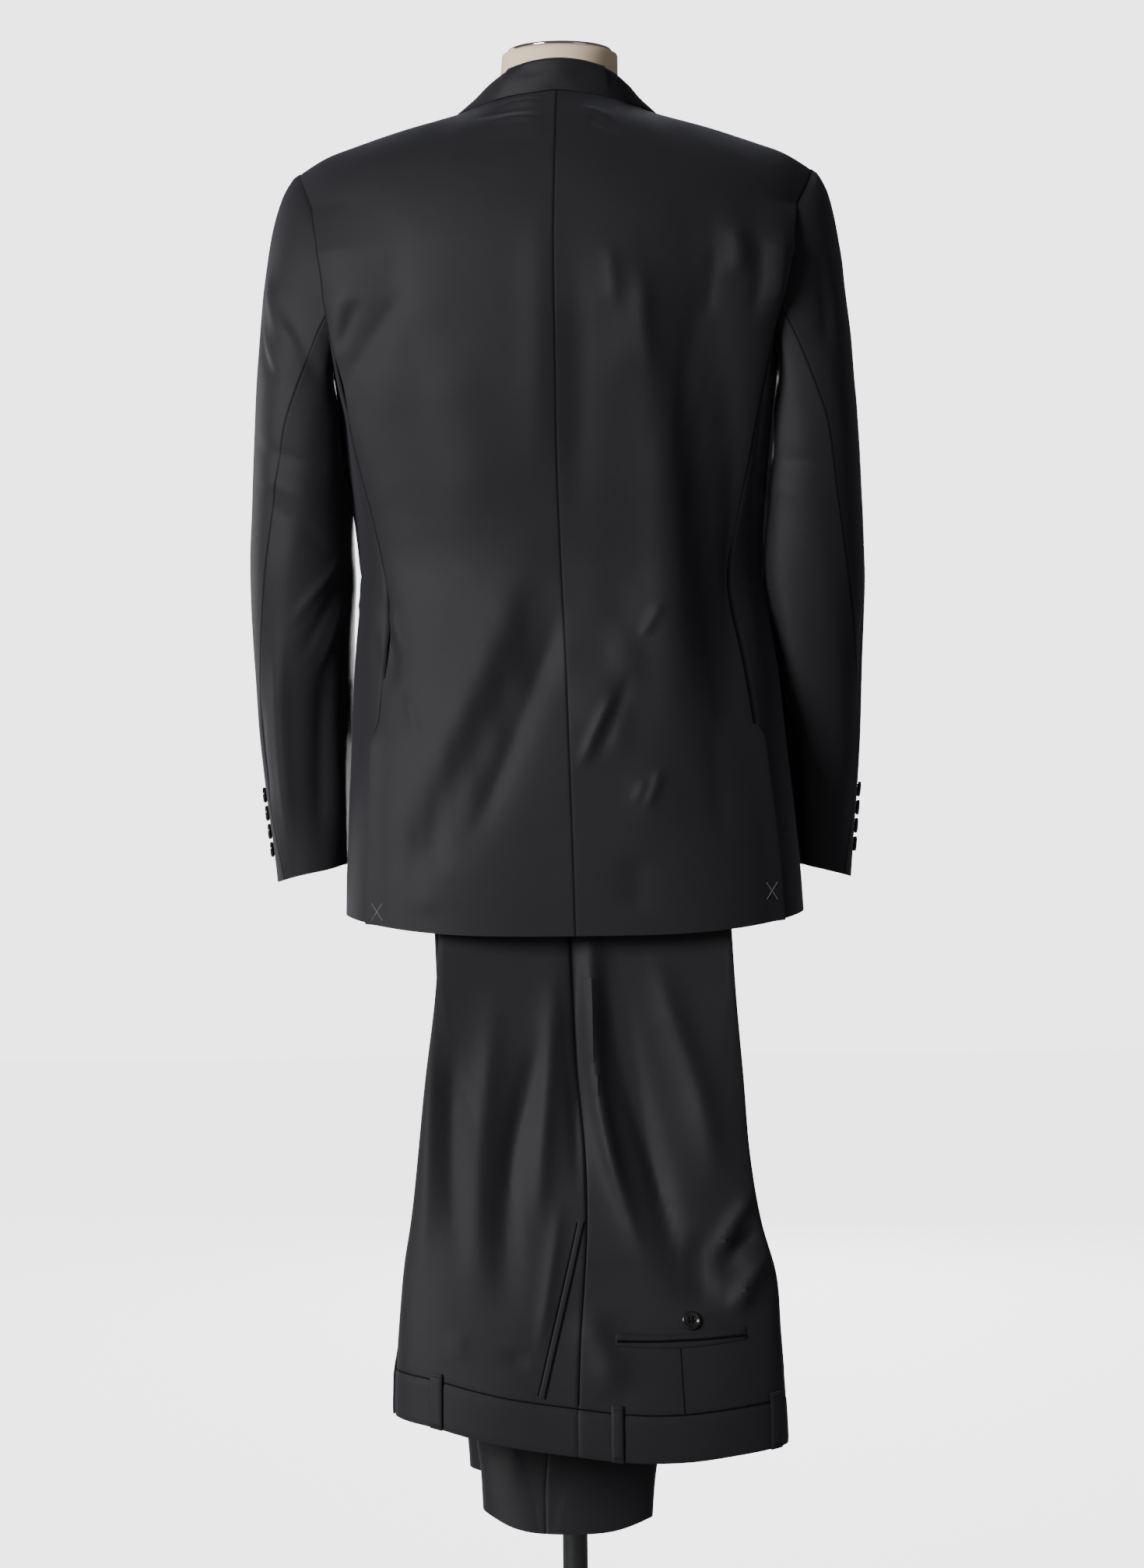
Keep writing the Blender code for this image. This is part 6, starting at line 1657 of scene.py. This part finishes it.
def bar_mesh():
    """One bent rod: the bar under the trousers, with its two ends brought round to the pole."""
    corners, path = np.array(BAR_CORNERS), []
    for number, corner in enumerate(corners):
        before, after = unit(corners[number - 1] - corner), unit(corners[(number + 1) % 4] - corner)
        for share in np.linspace(0, 1, 9):
            start, end = corner + before * BAR_BEND, corner + after * BAR_BEND
            path.append(start * (1 - share) ** 2 + corner * 2 * share * (1 - share) + end * share**2)
    path = np.array(path)
    along = unit(np.roll(path, -1, axis=0) - np.roll(path, 1, axis=0))
    flat = unit(np.cross(corners[1] - corners[0], corners[2] - corners[1]))
    rings = np.array([
        place + BAR_RADIUS * circle(BAR_SIDES, way, flat) for place, way in zip(path, np.cross(flat, along))
    ])
    index = np.arange(len(path) * BAR_SIDES).reshape(-1, BAR_SIDES)
    one, two = np.roll(index, -1, axis=1), np.roll(index, -1, axis=0)
    faces = np.stack([index, two, np.roll(two, -1, axis=1), one], axis=-1).reshape(-1, 4)
    mesh = bpy.data.meshes.new("bent_bar")
    mesh.from_pydata(rings.reshape(-1, 3).tolist(), [], faces.tolist())
    mesh.materials.append(black_paint)
    mesh.shade_smooth()
    turned = bmesh.new()
    turned.from_mesh(mesh)
    bmesh.ops.recalc_face_normals(turned, faces=turned.faces)
    turned.to_mesh(mesh)
    turned.free()
    return mesh


add_piece("bent_bar", bar_mesh(), "trouser_bar")

# %% [markdown]
# ## Buttons
# Each button is a horn disc with a raised rim, a shallow dish and four holes, sewn on with two bars of
# thread. The holes are part of the turned grid: rings near the middle are pushed down wherever they pass
# over a hole. The button sits on the cloth itself, so a ray from outside finds how high the cloth is there.

# %% Buttons
CLOTH = cloth_surface()
HOLE_OFF, HOLE_RADIUS, HOLE_DEPTH = 0.21, 0.95 * MM, 1.5 * MM
BUTTON_SIDES = 64
# The rim from its underside up and over: the share of the button's radius, and the height in mm
BUTTON_RIM = (
    (0.80, 0.0), (0.94, 0.25), (0.995, 0.9), (1.0, 1.5), (0.985, 2.2), (0.94, 2.8), (0.88, 3.1), (0.81, 3.1),
    (0.74, 2.75), (0.68, 2.3), (0.62, 2.0), (0.56, 1.9),
)
# The dish's height in mm, and the ring where it begins
DISH_HIGH, DISH_FROM = 1.9, len(BUTTON_RIM)
# The thread over the dish: how high its arch is and how far it dips into the holes, in mm
ARCH_HIGH_MM, ARCH_DIP_MM = 0.45, 1.7


def disc_of(name, outward):
    """Where a solid button is, which way it faces and how wide it is."""
    points = solid_points(name)
    centre = points.mean(axis=0)
    axis = np.linalg.svd(points - centre)[2][-1]
    axis = axis * np.sign(axis @ np.array(outward))
    off = (points - centre) - ((points - centre) @ axis)[:, None] * axis
    return centre, axis, float(np.linalg.norm(off, axis=1).max())


def sewn_button(name, outward):
    centre, axis, radius = disc_of(name, outward)
    place, _ = on_cloth(centre, axis)
    place = place + 0.15 * MM * axis
    profile = BUTTON_RIM + tuple((part, DISH_HIGH) for part in np.linspace(0.52, 0.03, 22))
    radii, heights = np.array(profile).T * ((radius,), (MM,))
    across = unit(np.cross([0.0, 0.0, 1.0], axis))
    up = np.cross(axis, across)
    turns = np.arange(BUTTON_SIDES) * 2 * math.pi / BUTTON_SIDES
    x, y = radii[:, None] * np.cos(turns), radii[:, None] * np.sin(turns)
    high = heights[:, None] + 0 * x
    off = HOLE_OFF * radius
    for hole_x, hole_y in ((-off, -off), (-off, off), (off, -off), (off, off)):
        apart = np.hypot(x - hole_x, y - hole_y)
        sunk = HOLE_DEPTH * smooth((HOLE_RADIUS - apart) / (0.35 * MM) + 0.5)
        high[DISH_FROM:] -= sunk[DISH_FROM:]
    rings = place + x[..., None] * across + y[..., None] * up + high[..., None] * axis
    add_piece(f"{name}_horn", ring_mesh(f"{name}_horn", rings, horn, 75), name)
    threads = bmesh.new()
    share = np.linspace(-1, 1, 9)[:, None]
    arch = (DISH_HIGH + ARCH_HIGH_MM - ARCH_DIP_MM * np.abs(share) ** 6) * MM
    for hole_x in (-off, off):
        for strand in (-0.3, 0.3):
            run = hole_x + strand * MM
            path = place + run * across + share * (off + 0.2 * MM) * up + arch * axis
            threads.from_mesh(tube("strand", path, 0.30 * MM, dark_thread))
    mesh = bpy.data.meshes.new(f"{name}_thread")
    threads.to_mesh(mesh)
    threads.free()
    mesh.materials.append(dark_thread)
    mesh.shade_smooth()
    add_piece(f"{name}_thread", mesh, slot=name)


BUTTONS = {
    "front_button_top": (0, 1, 0), "front_button_low": (0, 1, 0),
    "back_button_right": (0, -1, 0), "back_button_left": (0, 1, 0),
}
for side, word in WORDS.items():
    for number in range(1, 5):
        BUTTONS[f"cuff_button_{word}_{number}"] = (side, 0, 0)
for name, outward in BUTTONS.items():
    sewn_button(name, outward)
print(len(BUTTONS), "buttons")

# %% [markdown]
# ## Stitches
# A tailor's edge stitch is one small bite of thread every three or four millimetres. The same stitch
# repeats along every edge, so geometry nodes place it: a polyline becomes a curve, evenly spaced points on
# it each get one stitch turned along the curve, and the seeded size keeps them from looking printed. The
# result is turned into a plain mesh. Buttonholes and bartacks are the same stitch set close together.

# %% A line of stitches
def build_sewn_line():
    tree, given, result = new_group(
        "sewn_line",
        [
            ("Geometry", "Geometry", None), ("Pitch", "Float", 0.004), ("Length", "Float", 0.0011),
            ("Width", "Float", 0.0004), ("Seed", "Int", 1), ("Thread", "Material", None),
        ],
        [("Geometry", "Geometry")],
        "Geometry",
    )
    line = node(tree, "GeometryNodeMeshToCurve")
    wire(tree, given, line)
    places = node(tree, "GeometryNodeResampleCurve", mode="LENGTH")
    wire(tree, line, places)
    wire(tree, given, places, "Pitch", "Length")
    bead = filled(node(tree, "GeometryNodeMeshUVSphere"), Segments=6, Rings=4, Radius=0.5)
    along = node(tree, "GeometryNodeInputTangent")
    turned = node(tree, "FunctionNodeAlignRotationToVector", axis="X")
    wire(tree, along, turned, 0, "Vector")
    size = node(tree, "ShaderNodeCombineXYZ")
    wire(tree, given, size, "Length", 0)
    wire(tree, given, size, "Width", 1)
    wire(tree, given, size, "Width", 2)
    uneven = node(tree, "FunctionNodeRandomValue", data_type="FLOAT")
    uneven.inputs[2].default_value = 0.85
    uneven.inputs[3].default_value = 1.15
    wire(tree, given, uneven, "Seed", "Seed")
    scaled = node(tree, "ShaderNodeVectorMath", operation="SCALE")
    wire(tree, size, scaled)
    wire(tree, uneven, scaled, 1, "Scale")
    sewn = node(tree, "GeometryNodeInstanceOnPoints")
    wire(tree, places, sewn, 0, "Points")
    wire(tree, bead, sewn, 0, "Instance")
    wire(tree, turned, sewn, 0, "Rotation")
    wire(tree, scaled, sewn, 0, "Scale")
    real = node(tree, "GeometryNodeRealizeInstances")
    wire(tree, sewn, real)
    round_shaded = node(tree, "GeometryNodeSetShadeSmooth")
    wire(tree, real, round_shaded)
    finished = node(tree, "GeometryNodeSetMaterial")
    wire(tree, round_shaded, finished)
    wire(tree, given, finished, "Thread", "Material")
    wire(tree, finished, result)
    return tree


SEWN_LINE = build_sewn_line()
STITCH_LIFT = 0.1 * MM


def sewn(name, slot, paths, pitch, length, width):
    """One mesh of stitches along open or closed paths."""
    points, edges = [], []
    for path in paths:
        first = len(points)
        points += np.asarray(path).tolist()
        edges += [(first + step, first + step + 1) for step in range(len(path) - 1)]
    line = bpy.data.meshes.new("line")
    line.from_pydata(points, edges, [])
    thing = in_scene("line", line)
    modifier = thing.modifiers.new("sewn", "NODES")
    modifier.node_group = SEWN_LINE
    wanted = {"Pitch": pitch, "Length": length, "Width": width, "Seed": len(points), "Thread": dark_thread}
    for socket in SEWN_LINE.interface.items_tree:
        if socket.in_out == "INPUT" and socket.name in wanted:
            modifier[socket.identifier] = wanted[socket.name]
    graph = bpy.context.evaluated_depsgraph_get()
    mesh = bpy.data.meshes.new_from_object(thing.evaluated_get(graph))
    mesh.name = name
    bpy.data.objects.remove(thing)
    add_piece(name, mesh, slot=slot)
    return len(mesh.polygons) // 24

# %% Edge stitches
def raised_grid(name):
    return GRIDS[name] + STITCH_LIFT * normals_of(GRIDS[name])


def free_column(name):
    """The column beside a lapel's outer edge."""
    grid = raised_grid(name)
    ends = np.abs(grid[:, [0, -1], 0]).mean(axis=0)
    return grid[1:-1, 1] if ends[0] > ends[1] else grid[1:-1, -2]


def edge_stitches(slot, *paths, pitch=3.6 * MM, length=1.1 * MM, width=0.35 * MM):
    return sewn(f"{slot}_stitches", slot, paths, pitch, length, width)


BREAK_Z = 1.135
stitches = edge_stitches("collar", raised_grid("collar")[1, 1:-1])
for word, column in (("left", 1), ("right", -2)):
    stitches += edge_stitches(f"lapel_{word}", free_column(f"lapel_{word}"))
    edge = raised_grid(f"front_{word}")[1:, column]
    stitches += edge_stitches(f"front_{word}", edge[edge[:, 2] < BREAK_Z])
    flap = raised_grid(f"flap_{word}")
    stitches += edge_stitches(f"flap_{word}", np.concatenate([flap[:0:-1, 1], flap[1, 1:-1], flap[1:, -2]]))
    pocket = raised_grid(f"side_pocket_{word}")
    stitches += edge_stitches(f"side_pocket_{word}", pocket[1:-1, 2], pitch=3.0 * MM, length=1.5 * MM)
    for number in (1, 2, 3):
        name = f"belt_loop_{word}_{number}"
        ends = raised_grid(name)[[2, -3], 1:-1]
        stitches += edge_stitches(name, *ends, pitch=0.7 * MM, length=0.9 * MM, width=0.4 * MM)
welt = raised_grid("breast_welt")
stitches += edge_stitches("breast_welt", welt[1:-1, 1], welt[1:-1, -2], pitch=2.4 * MM)
print(stitches, "edge stitches")

# %% [markdown]
# ## Buttonholes and basting tacks
# A buttonhole is a slit edged with close stitches, and each lies under its button and runs on past it. New
# jackets leave the shop with a white basting cross over the foot of each vent, which the wearer cuts away.

# %% Buttonholes and tacks
def hole_path(button, toward, length, width):
    """A closed path round a buttonhole that runs from under its button towards one side."""
    centre, axis, _ = disc_of(button, BUTTONS[button])
    toward = np.array(toward, float)
    beside = np.cross(axis, toward)
    middle = centre + toward * (0.5 * length - 2 * MM)
    path = []
    for turn in np.linspace(0, 2 * math.pi, 49):
        off = 0.5 * length * np.cos(turn) * toward + 0.5 * width * np.clip(1.6 * np.sin(turn), -1, 1) * beside
        place, normal = on_cloth(middle + off, axis)
        path.append(place + STITCH_LIFT * normal)
    return path


def hole_stitches(name, slot, path, width=0.6 * MM):
    return sewn(f"{name}_hole", slot, [path], 0.75 * MM, 1.0 * MM, width)


holes = 0
for button in ("front_button_top", "front_button_low"):
    path = hole_path(button, (-1, 0, 0), 22 * MM, 2.2 * MM)
    holes += hole_stitches(button, "front_left", path, 0.7 * MM)
for word in WORDS.values():
    for number in range(1, 5):
        button = f"cuff_button_{word}_{number}"
        holes += hole_stitches(button, f"sleeve_top_{word}", hole_path(button, (0, 1, 0), 15 * MM, 1.8 * MM))
lapel = GRIDS["lapel_left"]
row = int(0.80 * len(lapel))
# The hole lies beside the lapel's outer edge
over = np.arange(4, 11)
if abs(lapel[0, 0, 0]) < abs(lapel[0, -1, 0]):
    over = lapel.shape[1] - 1 - over
low, high = lapel[row, over], lapel[row + 1, over]
near, far = low * 0.75 + high * 0.25, low * 0.25 + high * 0.75
ring = np.concatenate([near, far[::-1], near[:1]]) + np.array([0, 0.2 * MM, 0])
holes += hole_stitches("lapel", "lapel_left", ring)
print(holes, "buttonhole stitches")

TACK_HALF = (5.0 * MM, 7.5 * MM)
TACKS = (("back_left", -0.1690, 0.8130), ("back_right", 0.1800, 0.8280))
for slot, x, z in TACKS:
    for number, lean in enumerate((-1, 1)):
        path = []
        for share in np.linspace(-1, 1, 9):
            place = Vector((x + lean * share * TACK_HALF[0], -0.4, z + share * TACK_HALF[1]))
            hit = CLOTH.ray_cast(place, FORWARD, 0.5)[0]
            path.append(np.array(hit) - np.array([0, (0.2 + 0.4 * share**4 - 0.4 * share**6) * MM, 0]))
        name = f"{slot}_tack_{number}"
        add_piece(name, tube(name, path, 0.28 * MM, white_thread), slot=slot)

# %% [markdown]
# ## Floor, light and background
# The photograph has a plain pale grey behind the suit, a broad soft light high on the left and a shaded
# right side. The floor is one pale sheet.

# %% Stage
FLOOR_HALF = 7.0
BACKGROUND = (3.4, 3.4, 3.42)
ROOM = (0.098, 0.098, 0.104)
FLOOR_GLOW = 0.94

floor_mesh = bpy.data.meshes.new("floor")
floor_corners = [(a * FLOOR_HALF, b * FLOOR_HALF, 0) for a, b in ((-1, -1), (1, -1), (1, 1), (-1, 1))]
floor_mesh.from_pydata(floor_corners, [], [(0, 1, 2, 3)])
floor_finish = speckled_material(
    "pale_floor", (0.25, 0.25, 0.255), (0.27, 0.27, 0.275), 0.8, 0.8, (0.02, 0.1 * MM)
)
floor_tree = floor_finish.node_tree
floor_shader = filled(floor_tree.nodes["Principled BSDF"], Emission_Color=(*BACKGROUND, 1))
floor_rays = node(floor_tree, "ShaderNodeLightPath")
floor_glow = maths(floor_tree, "MULTIPLY", floor_rays.outputs["Is Camera Ray"], FLOOR_GLOW)
floor_tree.links.new(floor_glow, floor_shader.inputs["Emission Strength"])
floor_mesh.materials.append(floor_finish)
floor = in_scene("floor", floor_mesh)


def area_light(name, place, target, size, power, colour=(1, 1, 1)):
    data = bpy.data.lights.new(name, "AREA")
    data.shape = "DISK"
    data.size = size
    data.energy = power
    data.color = colour
    lamp = in_scene(name, data)
    lamp.location = place
    aim = Vector(target) - Vector(place)
    lamp.rotation_euler = aim.to_track_quat("-Z", "Y").to_euler()


area_light("key", (-2.55, -2.5, 1.95), (0, 0, 1.0), 1.5, 186, (1.0, 0.99, 0.97))
area_light("fill", (2.6, -2.6, 1.2), (0, 0, 0.9), 2.0, 7)
area_light("front key", (0.4, 3.2, 1.35), (0, 0, 1.0), 1.4, 140)
area_light("front fill", (-2.6, 2.4, 1.4), (0, 0, 0.9), 2.0, 27)

world = bpy.data.worlds.new("studio")
world.use_nodes = True
bpy.context.scene.world = world
sky = world.node_tree.nodes["Background"]
rays = node(world.node_tree, "ShaderNodeLightPath")
shade = mixed(world.node_tree, rays.outputs["Is Camera Ray"], ROOM, BACKGROUND)
world.node_tree.links.new(shade, sky.inputs["Color"])

# %% Sizes, and the end
meshes = [thing.data for thing in bpy.data.objects if thing.type == "MESH"]
total = sum(len(mesh.loops) - 2 * len(mesh.polygons) for mesh in meshes)
print(total, "triangles in all")
